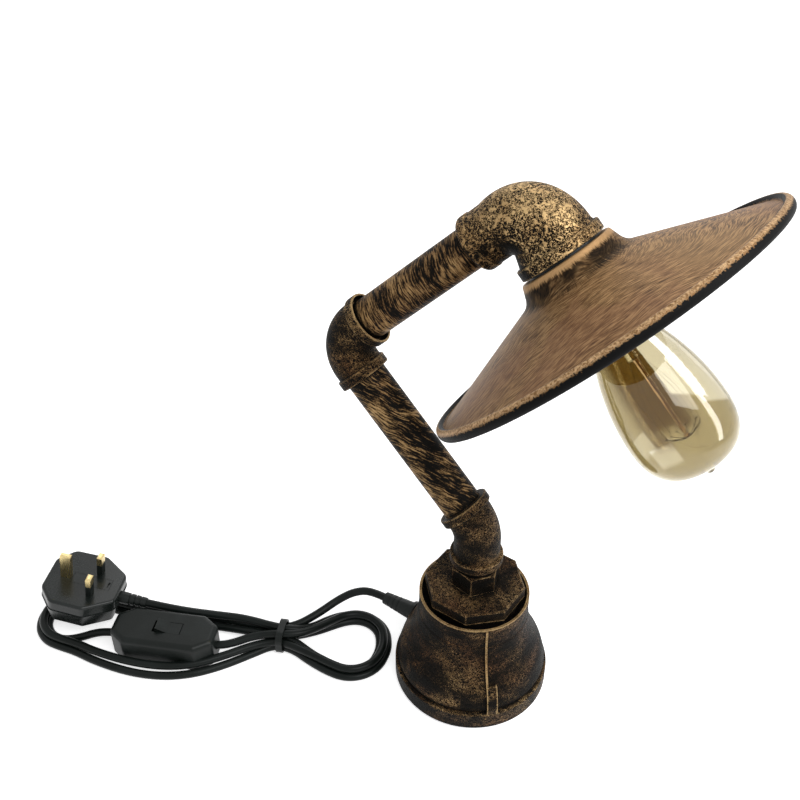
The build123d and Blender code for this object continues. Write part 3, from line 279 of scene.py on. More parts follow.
def new_finish(name):
    """An empty material: the material, its tree, its Principled shader and its Object coordinates."""
    material = bpy.data.materials.new(name)
    material.use_nodes = True
    material.node_tree.nodes.clear()
    tree = Tree(material.node_tree)
    shader = tree.add("ShaderNodeBsdfPrincipled")
    output = tree.add("ShaderNodeOutputMaterial")
    tree.put(output.inputs["Surface"], shader.outputs[0])
    return material, tree, shader.inputs, tree.add("ShaderNodeTexCoord").outputs["Object"]


def bump(tree, height, depth):
    return tree.add("ShaderNodeBump", {"Strength": 1.0, "Distance": depth, "Height": height}).outputs[0]


def new_object(name, data):
    """An object with this data, in the scene."""
    made = bpy.data.objects.new(name, data)
    bpy.context.scene.collection.objects.link(made)
    return made


def dress(names, material):
    """Gives CAD nodes a finish in their one material slot."""
    for name in names:
        piece = frame["nodes"][name]
        piece.data.materials.clear()
        piece.data.materials.append(material)


# ---- bronze finishes


def casting_finish(name, colours, rub, gleam, plated):
    """Black with bronze rubbed on its wrinkles, or bronze with black cracks where plated is 1."""
    material, tree, shader, place = new_finish(name)
    relief = tree.group("wormy", Vector=place, Scale=colours.wrinkle_scale)
    wear_and_shade_masks = tree.group("worn", Vector=place, Edge_Reach=0.0013, Hollow_Reach=0.008)
    normal = tree.add("ShaderNodeTexCoord").outputs["Normal"]
    # painted light: surfaces facing up and towards the front get more bronze and those facing away get less,
    # as if lit and shaded
    painted_light_share = 0.3 + 0.16 * plated
    towards = tree.math("MAXIMUM", tree.vector("DOT_PRODUCT", normal, PAINTED_LIGHT_SIDE), PAINTED_LIGHT_LEAST)
    wiped = tree.times(towards, painted_light_share)
    patch = tree.times(tree.minus(relief["Patches"], 0.5), 1.3)
    rubbed = tree.plus(tree.plus(patch, rub), tree.times(wear_and_shade_masks["Edge"], 1.1))
    # less bronze in hollows and where parts meet, for black undercoat and painted shade; more on the side
    # with painted light
    rubbed = tree.plus(tree.minus(rubbed, wear_and_shade_masks["Hollow"]), wiped)
    lines = tree.mix_values(plated, relief["Ridge"], relief["Plate"])
    height = tree.plus(lines, rubbed)
    gilt = tree.step(height, 0.76, 1.04)
    handling = tree.group("handling", Vector=place, Grain=1500.0)
    tone = tree.plus(handling["Smear"], tree.times(wear_and_shade_masks["Edge"], 0.12))
    tone = tree.plus(tone, gleam)
    tone = tree.plus(tone, tree.times(tree.minus(height, 1.0), 0.22))
    metal = tree.ramp(tone, [(0.34, colours.copper), (0.54, colours.bronze), (0.74, colours.gold)])
    tree.put(shader["Base Color"], tree.mix(gilt, solid(colours.undercoat), metal))
    tree.put(shader["Metallic"], tree.times(gilt, BRONZE_METALLIC))
    gloss = tree.plus(tree.between(handling["Pores"], 0.38, 0.56), tree.times(gilt, -0.08))
    tree.put(shader["Roughness"], gloss)
    shader["Specular IOR Level"].default_value = BRONZE_SPECULAR
    raised = tree.plus(lines, tree.times(handling["Pores"], 0.35))
    tree.put(shader["Normal"], bump(tree, raised, 0.00034))
    return material


def pipe_finish(name, colours, origin, axis, turn, rub):
    """Bronze wiped over a black pipe in short fine streaks that are turned from its axis."""
    along_streak, over_streak = 130.0, 1250.0      # noise per metre along a streak and across it
    material, tree, shader, place = new_finish(name)
    side = (TOWARDS_CAMERA - axis * TOWARDS_CAMERA.dot(axis)).normalized()
    turned = tree.group("turned", Vector=place, Origin=origin, Axis=axis, Side=side)
    across, beside, _ = tree.split(turned["Flat"])
    sag = tree.times(tree.noise(place, 55.0, 1.0), 0.006)
    run = tree.plus(tree.times(turned["Along"], -cos(turn)), tree.times(beside, sin(turn)))
    over = tree.plus(tree.times(turned["Along"], sin(turn)), tree.times(beside, cos(turn)))
    over = tree.plus(over, sag)
    streak_place = tree.join(tree.times(across, along_streak), tree.times(run, along_streak),
                             tree.times(over, over_streak))
    streak = tree.noise(streak_place, 1.0, 3.0, 0.6, 0.2)
    broad_place = tree.join(tree.times(across, 55.0), tree.times(run, 34.0), tree.times(over, 85.0))
    patch = tree.noise(broad_place, 1.0, 2.0, 0.5, 0.4)
    fleck = tree.noise(place, 900.0, 2.0, 0.6)
    wear_and_shade_masks = tree.group("worn", Vector=place, Edge_Reach=0.001, Hollow_Reach=0.006)
    amount = tree.plus(tree.times(streak, 1.5), tree.times(patch, 0.85))
    amount = tree.plus(amount, tree.times(fleck, 0.35))
    # darker near the sockets: black undercoat where the pipe goes into a fitting, and painted shade in the
    # gap there
    amount = tree.minus(amount, tree.times(wear_and_shade_masks["Hollow"], 0.8))
    gilt = tree.step(tree.plus(amount, rub), 1.26, 1.6)
    handling = tree.group("handling", Vector=place, Grain=1300.0)
    metal = tree.ramp(tree.plus(tree.times(patch, 0.5), tree.times(streak, 0.5)),
                      [(0.42, colours.copper), (0.58, colours.bronze), (0.8, colours.gold)])
    tree.put(shader["Base Color"], tree.mix(gilt, solid(colours.undercoat), metal))
    tree.put(shader["Metallic"], tree.times(gilt, BRONZE_METALLIC))
    tree.put(shader["Roughness"], tree.between(handling["Pores"], 0.36, 0.54))
    shader["Specular IOR Level"].default_value = BRONZE_SPECULAR
    tree.put(shader["Normal"], bump(tree, tree.plus(streak, fleck), 0.0002))
    return material


def shade_finish(name, colours, shade):
    """Brown bronze brushed across and in arcs, a dark furry neck, a bright bead and gloss black inside."""
    along_stroke, over_stroke = 130.0, 1500.0      # noise per metre along a stroke and across it
    # metres, where a mask starts and where it is full
    neck_top, neck_edge = (0.0026, 0.005), (0.0415, 0.034)
    shoulder_top, shoulder_edge = (0.005, 0.002), (0.022, 0.027)
    bead_edge = (0.1116, 0.1122)
    material, tree, shader, place = new_finish(name)
    origin = TOP_BEND + HEAD_DIR * SHADE_TOP
    side = (CAMERA_RIGHT - HEAD_DIR * HEAD_DIR.dot(CAMERA_RIGHT)).normalized()
    turned = tree.group("turned", Vector=place, Origin=origin, Axis=HEAD_DIR, Side=side)
    radius, along = turned["Radius"], turned["Along"]
    across, beside, _ = tree.split(turned["Flat"])
    wander = tree.noise(place, 14.0, 2.0, 0.5)
    drift = tree.times(wander, 0.035)
    # strokes that run straight across the shade, and strokes that run round it
    slanted = tree.plus(tree.plus(beside, drift), tree.times(across, -0.12))
    straight_place = tree.join(tree.times(across, along_stroke), tree.times(slanted, over_stroke),
                               tree.times(along, 260.0))
    straight = tree.noise(straight_place, 1.0, 3.0, 0.62)
    ring = tree.times(tree.plus(radius, drift), over_stroke)
    around_place = tree.vector("ADD", tree.scaled(turned["Round"], 9.0), tree.join(0.0, 0.0, ring))
    around = tree.noise(around_place, 1.0, 3.0, 0.62)
    sector = tree.split(turned["Round"])[0]
    facing = tree.step(tree.plus(sector, tree.times(wander, 0.4)), 0.35, 0.85)
    strokes = tree.mix_values(facing, straight, around)
    brushed = tree.ramp(strokes, [(0.35, shade.dark), (0.48, shade.brown), (0.62, shade.light)])
    cloud = tree.noise(place, 17.0, 2.0, 0.5, 0.5)
    brushed = tree.mix(tree.times(tree.step(cloud, 0.5, 0.66), 0.35), brushed, solid(shade.rose))
    brushed = tree.mix(tree.times(tree.step(cloud, 0.48, 0.34), 0.35), brushed, solid(shade.ochre))
    # the neck's dark band under a bright rounded shoulder, with brush hairs running down both
    hair_place = tree.vector("ADD", tree.scaled(turned["Round"], 52.0),
                             tree.join(0.0, 0.0, tree.times(along, 130.0)))
    hair = tree.minus(tree.noise(hair_place, 1.0, 3.0, 0.6), 0.5)
    below = tree.step(tree.plus(along, tree.times(hair, 0.008)), *neck_top)
    above = tree.step(tree.plus(radius, tree.times(hair, 0.02)), *neck_edge)
    bare = tree.step(tree.noise(place, 42.0, 2.0, 0.5), 0.4, 0.52)
    neck = tree.times(tree.times(below, above), tree.between(bare, 0.45, 1.0))
    shoulder = tree.times(tree.step(along, *shoulder_top), tree.step(radius, *shoulder_edge))
    painted = tree.mix(tree.times(shoulder, 0.8), brushed, solid(shade.light))
    painted = tree.mix(tree.times(neck, 0.9), painted, solid(colours.undercoat))
    # the bead: a jagged bright top, black below and on the side that faces the shade's middle
    jag = tree.minus(tree.noise(place, 700.0, 3.0, 0.7), 0.5)
    bead = tree.step(tree.plus(radius, tree.times(jag, 0.0022)), *bead_edge)
    normal = tree.add("ShaderNodeTexCoord").outputs["Normal"]
    drop = tree.vector("DOT_PRODUCT", normal, HEAD_DIR)
    outer = tree.vector("DOT_PRODUCT", normal, turned["Outward"])
    worn_bead = tree.ramp(tree.plus(jag, 0.5), [(0.4, shade.brown), (0.62, shade.bead)])
    painted = tree.mix(bead, painted, worn_bead)
    under = tree.step(tree.plus(drop, tree.times(jag, 1.3)), -0.42, -0.2)
    turned_in = tree.step(outer, 0.12, -0.2)
    black = tree.times(tree.math("MAXIMUM", under, turned_in), bead)
    inside = tree.times(tree.step(drop, 0.1, 0.3), tree.minus(1.0, bead))
    black = tree.math("MAXIMUM", black, inside)
    tree.put(shader["Base Color"], tree.mix(black, painted, solid(shade.inside)))
    bright = tree.minus(1.0, tree.math("MAXIMUM", black, tree.times(neck, 0.9)), clamp=True)
    tree.put(shader["Metallic"], tree.times(bright, BRONZE_METALLIC))
    tree.put(shader["Roughness"], tree.between(strokes, 0.4, 0.56))
    shader["Specular IOR Level"].default_value = BRONZE_SPECULAR
    tree.put(shader["Normal"], bump(tree, strokes, 0.00014))
    return material


# ---- other finishes


def even_finish(name, colour, accent, roughness, grain, depth, metallic=0.0):
    """A moulded, rolled or plated surface: two close tones, fine pores and uneven gloss."""
    material, tree, shader, place = new_finish(name)
    handling = tree.group("handling", Vector=place, Grain=grain)
    tone = tree.step(handling["Smear"], 0.35, 0.65)
    tree.put(shader["Base Color"], tree.mix(tone, solid(colour), solid(accent)))
    gloss = tree.plus(tree.times(handling["Smear"], 0.6), tree.times(handling["Pores"], 0.4))
    tree.put(shader["Roughness"], tree.between(gloss, roughness - GLOSS_SPREAD, roughness + GLOSS_SPREAD))
    shader["Metallic"].default_value = metallic
    tree.put(shader["Normal"], bump(tree, handling["Pores"], depth))
    return material, shader


def drawn_finish(name, colour, accent, axis, roughness):
    """Drawn or milled metal: fine lines along an axis."""
    material, tree, shader, place = new_finish(name)
    over_line, off_along = 1900.0, 1780.0    # noise per metre across the lines, and its cut along them
    stretch = tree.vector("DOT_PRODUCT", place, axis)
    along = tree.scaled(axis, tree.times(stretch, off_along))
    squeezed = tree.vector("SUBTRACT", tree.scaled(place, over_line), along)
    lines = tree.noise(squeezed, 1.0, 2.0, 0.6)
    smear = tree.group("handling", Vector=place, Grain=900.0)["Smear"]
    tone = tree.plus(tree.times(lines, 0.6), tree.times(smear, 0.4))
    tree.put(shader["Base Color"], tree.mix(tone, solid(colour), solid(accent)))
    shader["Metallic"].default_value = 1.0
    tree.put(shader["Roughness"], tree.between(lines, roughness - 0.08, roughness + 0.1))
    tree.put(shader["Normal"], bump(tree, lines, 0.00003))
    return material


def envelope_finish(name, bulb):
    """Clear glass with a smoky amber coat, brown on the far side and thin towards the tip, and a painted
    reflection of the window down one side.
    """
    # where a mask starts and where it is full, in metres; left and right go from -1 to 1 round the bulb
    coat_back, coat_side, coat_end = (0.0, 0.006), (0.021, 0.009), (0.126, 0.104)
    # the strip of the painted reflection, then the bare patch near the tip
    reflection_left, reflection_right, reflection_end = (0.36, 0.39), (0.86, 0.83), (0.0865, 0.0835)
    spot_right, spot_left = (-0.45, -0.5), (-0.84, -0.8)
    spot_start, spot_end = (0.101, 0.103), (0.117, 0.113)
    material, tree, shader, place = new_finish(name)
    far = (HEAD_DIR * TOWARDS_CAMERA.dot(HEAD_DIR) - TOWARDS_CAMERA).normalized()
    origin = TOP_BEND + HEAD_DIR * CAP_TIP
    turned = tree.group("turned", Vector=place, Origin=origin, Axis=HEAD_DIR, Side=far)
    drift = tree.noise(place, 34.0, 2.0, 0.5, 1.4)
    swirl = tree.minus(drift, 0.5)
    reach = tree.plus(turned["Along"], tree.times(swirl, 0.04))
    across, beside, _ = tree.split(turned["Flat"])
    side_edge = tree.plus(tree.math("ABSOLUTE", beside), tree.times(swirl, 0.004))
    behind = tree.times(tree.step(across, *coat_back), tree.step(side_edge, *coat_side))
    coat = tree.times(behind, tree.step(reach, *coat_end))
    coated = tree.mix(coat, solid(bulb.thin_coat), solid(bulb.thick_coat))
    # a painted reflection of the window as a near-white strip down one side of the coat, and a bare patch
    # near the tip on the other
    quarter = tree.math("DIVIDE", beside, turned["Radius"])
    slanted = tree.plus(turned["Along"], tree.times(quarter, -0.022))
    reflection_strip = tree.times(tree.step(quarter, *reflection_left), tree.step(quarter, *reflection_right))
    reflection_strip = tree.times(reflection_strip, tree.step(slanted, *reflection_end))
    ends = tree.times(tree.step(turned["Along"], *spot_start), tree.step(turned["Along"], *spot_end))
    spot = tree.times(tree.times(tree.step(quarter, *spot_right), tree.step(quarter, *spot_left)), ends)
    bare = tree.math("MAXIMUM", reflection_strip, tree.times(spot, 0.55))
    tree.put(shader["Base Color"], tree.mix(bare, coated, solid(bulb.bare_glass_and_reflection)))
    shader["Transmission Weight"].default_value = 1.0
    shader["IOR"].default_value = 1.45
    shader["Metallic"].default_value = 0.0
    tree.put(shader["Roughness"], tree.between(drift, 0.0, 0.03))
    return material


def stem_finish(name, colour):
    """Pressed clear glass with faint cords in it."""
    material, tree, shader, place = new_finish(name)
    cords = tree.noise(place, 160.0, 2.0, 0.5, 1.0)
    tree.put(shader["Base Color"], tree.mix(cords, solid(colour), (0.96, 0.9, 0.74, 1.0)))
    shader["Transmission Weight"].default_value = 1.0
    shader["IOR"].default_value = 1.5
    tree.put(shader["Roughness"], tree.between(cords, 0.02, 0.12))
    tree.put(shader["Normal"], bump(tree, cords, 0.0001))
    return material


def floor_finish(name, stage):
    """Matt pale paper that shows the background's white to the camera and keeps the lamp's shadow."""
    material, tree, shader, place = new_finish(name)
    fibre = tree.noise(place, 900.0, 3.0, 0.6)
    tree.put(shader["Base Color"], tree.mix(fibre, solid(stage.floor_colour), (0.97, 0.97, 0.97, 1.0)))
    shader["Roughness"].default_value = 0.9
    shader["Specular IOR Level"].default_value = 0.0
    shader["Emission Color"].default_value = (1.0, 1.0, 1.0, 1.0)
    tree.put(shader["Emission Strength"], tree.times(tree.seen_directly(), stage.floor_lift))
    return material


# ---- pieces grown by Geometry Nodes

BOW_STEPS, WIRE_SIDES, EYE_STEPS = 14, 7, 12
SWAY = 0.12                  # how far a wire may stand from its even place, in radians


def new_wire_crown():
    """A tree for wires set round an axis: each is a bow from a root to a tip, with an eye at the tip."""
    tree = bpy.data.node_groups.new("Lamp Wire Crown", "GeometryNodeTree")
    kinds = {"Count": "NodeSocketInt", "Root": VECTOR, "Bow": VECTOR, "Tip": VECTOR, "Wire": FLOAT,
             "Eye": FLOAT, "Least": FLOAT, "Turn": FLOAT, "Seed": "NodeSocketInt", "Place": VECTOR,
             "Heading": "NodeSocketRotation", "Finish": "NodeSocketMaterial"}
    for name, kind in kinds.items():
        tree.interface.new_socket(name, in_out="INPUT", socket_type=kind)
    tree.interface.new_socket("Geometry", in_out="OUTPUT", socket_type="NodeSocketGeometry")
    nodes = Tree(tree)
    given = nodes.add("NodeGroupInput").outputs
    bow = nodes.add("GeometryNodeCurveQuadraticBezier", {
        "Resolution": BOW_STEPS, "Start": given["Root"], "Middle": given["Bow"], "End": given["Tip"]})
    section = nodes.add("GeometryNodeCurvePrimitiveCircle", {
        "Resolution": WIRE_SIDES, "Radius": given["Wire"]})
    wire = nodes.add("GeometryNodeCurveToMesh", {0: bow.outputs[0], 1: section.outputs[0], "Fill Caps": True})
    ring = nodes.add("GeometryNodeCurvePrimitiveCircle", {"Resolution": EYE_STEPS, "Radius": given["Eye"]})
    eye = nodes.add("GeometryNodeCurveToMesh", {0: ring.outputs[0], 1: section.outputs[0]})
    placed_eye = nodes.add("GeometryNodeTransform", {0: eye.outputs[0], "Translation": given["Tip"]})
    one = nodes.add("GeometryNodeJoinGeometry")
    tree.links.new(wire.outputs[0], one.inputs[0])
    tree.links.new(placed_eye.outputs[0], one.inputs[0])
    points = nodes.add("GeometryNodePoints", {"Count": given["Count"]})
    number = nodes.add("GeometryNodeInputIndex").outputs[0]
    share = nodes.math("DIVIDE", number, given["Count"])
    sway = nodes.add("FunctionNodeRandomValue", data_type="FLOAT")
    nodes.put(sway.inputs[2], -SWAY)
    nodes.put(sway.inputs[3], SWAY)
    nodes.put(sway.inputs["Seed"], given["Seed"])
    angle = nodes.plus(nodes.times(share, 2 * pi), nodes.plus(sway.outputs[1], given["Turn"]))
    facing = nodes.add("ShaderNodeCombineXYZ", {2: angle}).outputs[0]
    size = nodes.add("FunctionNodeRandomValue", data_type="FLOAT")
    nodes.put(size.inputs[2], given["Least"])
    nodes.put(size.inputs[3], 1.0)
    nodes.put(size.inputs["Seed"], given["Seed"])
    spread = nodes.add("GeometryNodeInstanceOnPoints", {
        "Points": points.outputs[0], "Instance": one.outputs[0], "Rotation": facing,
        "Scale": size.outputs[1]})
    whole = nodes.add("GeometryNodeRealizeInstances", {0: spread.outputs[0]})
    placed = nodes.add("GeometryNodeTransform", {
        0: whole.outputs[0], "Translation": given["Place"], "Rotation": given["Heading"]})
    painted = nodes.add("GeometryNodeSetMaterial", {0: placed.outputs[0], "Material": given["Finish"]})
    nodes.put(nodes.add("NodeGroupOutput").inputs[0], painted.outputs[0])
    return tree


def grown(name, tree, values):
    """A plain mesh object from a Geometry Nodes tree with these inputs."""
    piece = new_object(name, bpy.data.meshes.new(name))
    modifier = piece.modifiers.new(name, "NODES")
    modifier.node_group = tree
    for item in tree.interface.items_tree:
        if item.in_out == "INPUT" and item.name in values:
            modifier[item.identifier] = values[item.name]
    depsgraph = bpy.context.evaluated_depsgraph_get()
    mesh = bpy.data.meshes.new_from_object(piece.evaluated_get(depsgraph))
    piece.modifiers.remove(modifier)
    piece.data = mesh
    piece.data.materials.clear()
    piece.data.materials.append(values["Finish"])
    return piece


# ---- settings


def colour_setting(name, description, default):
    return FloatVectorProperty(name=name, description=description, default=default, size=3, min=0.0, max=1.0,
                               subtype="COLOR")


def number_setting(name, description, default, **more):
    return FloatProperty(name=name, description=description, default=default, **more)


class LampBronzeSettings(bpy.types.PropertyGroup):
    undercoat: colour_setting("Undercoat", "Black under the bronze", (0.0045, 0.004, 0.0032))
    copper: colour_setting("Copper", "Darkest tone of the rubbed bronze", (0.19, 0.095, 0.042))
    bronze: colour_setting("Bronze", "Middle tone of the rubbed bronze", (0.31, 0.19, 0.082))
    gold: colour_setting("Gold", "Brightest tone of the rubbed bronze", (0.56, 0.38, 0.18))
    wrinkle_scale: number_setting("Wrinkle scale", "Wrinkles per metre", 620.0)
    base_rub: number_setting("Base rub", "How much bronze is left on the base", -0.18)
    bend_rub: number_setting("Elbow rub", "How much is left on the small elbows", -0.12)
    head_rub: number_setting("Head rub", "How much is left on the head elbow", -0.08)
    pipe_rub: number_setting("Pipe rub", "How much is left on the pipes", -0.05)


class LampShadeSettings(bpy.types.PropertyGroup):
    dark: colour_setting("Dark", "Bottom of the brush lines", (0.04, 0.021, 0.010))
    brown: colour_setting("Brown", "Main tone of the shade", (0.20, 0.108, 0.046))
    light: colour_setting("Light", "Crests of the brush lines", (0.46, 0.28, 0.13))
    rose: colour_setting("Rose", "Red copper clouds", (0.25, 0.12, 0.066))
    ochre: colour_setting("Ochre", "Gold brown clouds", (0.27, 0.165, 0.072))
    bead: colour_setting("Bead", "Worn top of the rim's bead", (0.62, 0.41, 0.22))
    inside: colour_setting("Inside", "Gloss black inside the shade", (0.006, 0.006, 0.006))


class LampBulbSettings(bpy.types.PropertyGroup):
    thin_coat: colour_setting("Thin coat", "Glass where the amber coat is thin", (0.50, 0.44, 0.285))
    thick_coat: colour_setting("Thick coat", "Glass where the amber coat is thick", (0.14, 0.08, 0.016))
    # also the near-white of the painted reflection of the window down one side of the bulb
    bare_glass_and_reflection: colour_setting("Bare glass and reflection", "Glass without the amber coat, and the painted reflection of the window", (0.97, 0.965, 0.94))
    hook_count: IntProperty(name="Hooks", description="Support hooks at the end of the post",
                            default=11, min=3)
    hook_reach: number_setting("Hook reach", "Length of a hook", 0.0125, unit="LENGTH")
    hook_wire: number_setting("Hook wire", "Radius of a hook's wire", 0.00016, unit="LENGTH", precision=5)
    strand_count: IntProperty(name="Strands", description="Filament strands", default=8, min=2)
    strand_wire: number_setting("Strand wire", "Radius of a strand", 0.00007, unit="LENGTH", precision=5)


class LampLeadSettings(bpy.types.PropertyGroup):
    diameter: number_setting("Diameter", "Outside diameter of the round lead", 0.006, unit="LENGTH")
    sheath: colour_setting("Sheath", "Colour of the lead and its mouldings", (0.005, 0.007, 0.006))
    sheen: colour_setting("Sheen", "Lighter tone of the mouldings", (0.010, 0.013, 0.012))


class LampStageSettings(bpy.types.PropertyGroup):
    floor_colour: colour_setting("Floor", "Colour of the floor", (0.92, 0.92, 0.92))
    floor_lift: number_setting("Floor lift", "White added where the camera sees the floor", 0.68)
    floor_size: number_setting("Floor size", "Side of the floor", 8.0, unit="LENGTH")
    sky: number_setting("Sky", "Brightness of the light from all round", 0.36)
    key_power: number_setting("Key", "Power of the main lamp", 8.0, unit="POWER")
    window_power: number_setting("Window", "Power of the window beside the bulb", 7.0, unit="POWER")


# ---- operators


class LAMP_OT_stage(bpy.types.Operator):
    """Makes the floor, the lamps, the world and the camera"""

    bl_idname = "lamp.stage"
    bl_label = "Stage"

    MIDDLE = Vector((-0.03, 0.0, 0.2))      # what the key lamp and the back lamp point at
    KEY_PLACE, KEY_SIZE = MIDDLE + Vector((0.75, -0.35, 1.0)), (0.8, 0.6)
    BACK_PLACE, BACK_SIZE = MIDDLE + Vector((-0.6, 0.9, 0.9)), (0.6, 0.6)
    BACK_SHARE = 0.35                       # of the key lamp's power
    WINDOW_SIZE, WINDOW_DISTANCE = (0.17, 1.2), 0.8
    MIRROR = 0.075                          # from the cap's contact to where the bulb mirrors the window

    def execute(self, context):
        stage = context.scene.lamp_stage
        context.scene.view_settings.view_transform = "Standard"
        self.add_floor(stage)
        self.add_world(context.scene, stage)
        self.add_camera(context.scene)
        back_power = stage.key_power * self.BACK_SHARE
        self.add_lamp("key_lamp", self.KEY_PLACE, self.MIDDLE, self.KEY_SIZE, stage.key_power)
        self.add_lamp("back_lamp", self.BACK_PLACE, self.MIDDLE, self.BACK_SIZE, back_power)
        self.add_window(stage)
        return {"FINISHED"}

    def add_floor(self, stage):
        half = stage.floor_size / 2
        mesh = bpy.data.meshes.new("floor")
        mesh.from_pydata([(-half, -half, 0), (half, -half, 0), (half, half, 0), (-half, half, 0)], [],
                         [(0, 1, 2, 3)])
        floor = new_object("floor", mesh)
        mesh.materials.append(floor_finish("floor_paper", stage))

    def add_world(self, scene, stage):
        world = bpy.data.worlds.new("lamp_world")
        world.use_nodes = True
        world.node_tree.nodes.clear()
        tree = Tree(world.node_tree)
        strength = tree.between(tree.seen_directly(), stage.sky, 1.0)
        background = tree.add("ShaderNodeBackground", {"Color": (1.0, 1.0, 1.0, 1.0), "Strength": strength})
        tree.put(tree.add("ShaderNodeOutputWorld").inputs["Surface"], background.outputs[0])
        scene.world = world

    def add_camera(self, scene):
        data = bpy.data.cameras.new("lamp_camera")
        data.lens = CAMERA_LENS
        data.sensor_width = CAMERA_SENSOR
        camera = new_object("lamp_camera", data)
        camera.location = CAMERA_PLACE
        camera.rotation_euler = CAMERA_LOOK.to_track_quat("-Z", "Y").to_euler()
        scene.camera = camera

    def add_lamp(self, name, place, target, size, power):
        data = bpy.data.lights.new(name, "AREA")
        data.shape = "RECTANGLE"
        data.size, data.size_y = size
        data.energy = power
        lamp = new_object(name, data)
        lamp.location = place
        lamp.rotation_euler = (target - place).to_track_quat("-Z", "Y").to_euler()
        return lamp

    def add_window(self, stage):
        """A tall narrow lamp that the bulb's right side mirrors, parallel to the bulb."""
        belly = TOP_BEND + HEAD_DIR * (CAP_TIP + self.MIRROR)
        to_camera = (CAMERA_PLACE - belly).normalized()
        front = (to_camera - HEAD_DIR * to_camera.dot(HEAD_DIR)).normalized()
        right = front.cross(HEAD_DIR).normalized()
        right = right if right.dot(CAMERA_RIGHT) > 0 else -right
        normal = front * cos(WINDOW_TURN) + right * sin(WINDOW_TURN)
        mirrored = (normal * 2 * normal.dot(to_camera) - to_camera).normalized()
        place = belly + mirrored * self.WINDOW_DISTANCE
        window = self.add_lamp("window_lamp", place, belly, self.WINDOW_SIZE, stage.window_power)
        length = (HEAD_DIR - mirrored * HEAD_DIR.dot(mirrored)).normalized()
        across = length.cross(mirrored)
        window.rotation_euler = Matrix((across, length, mirrored)).transposed().to_euler()


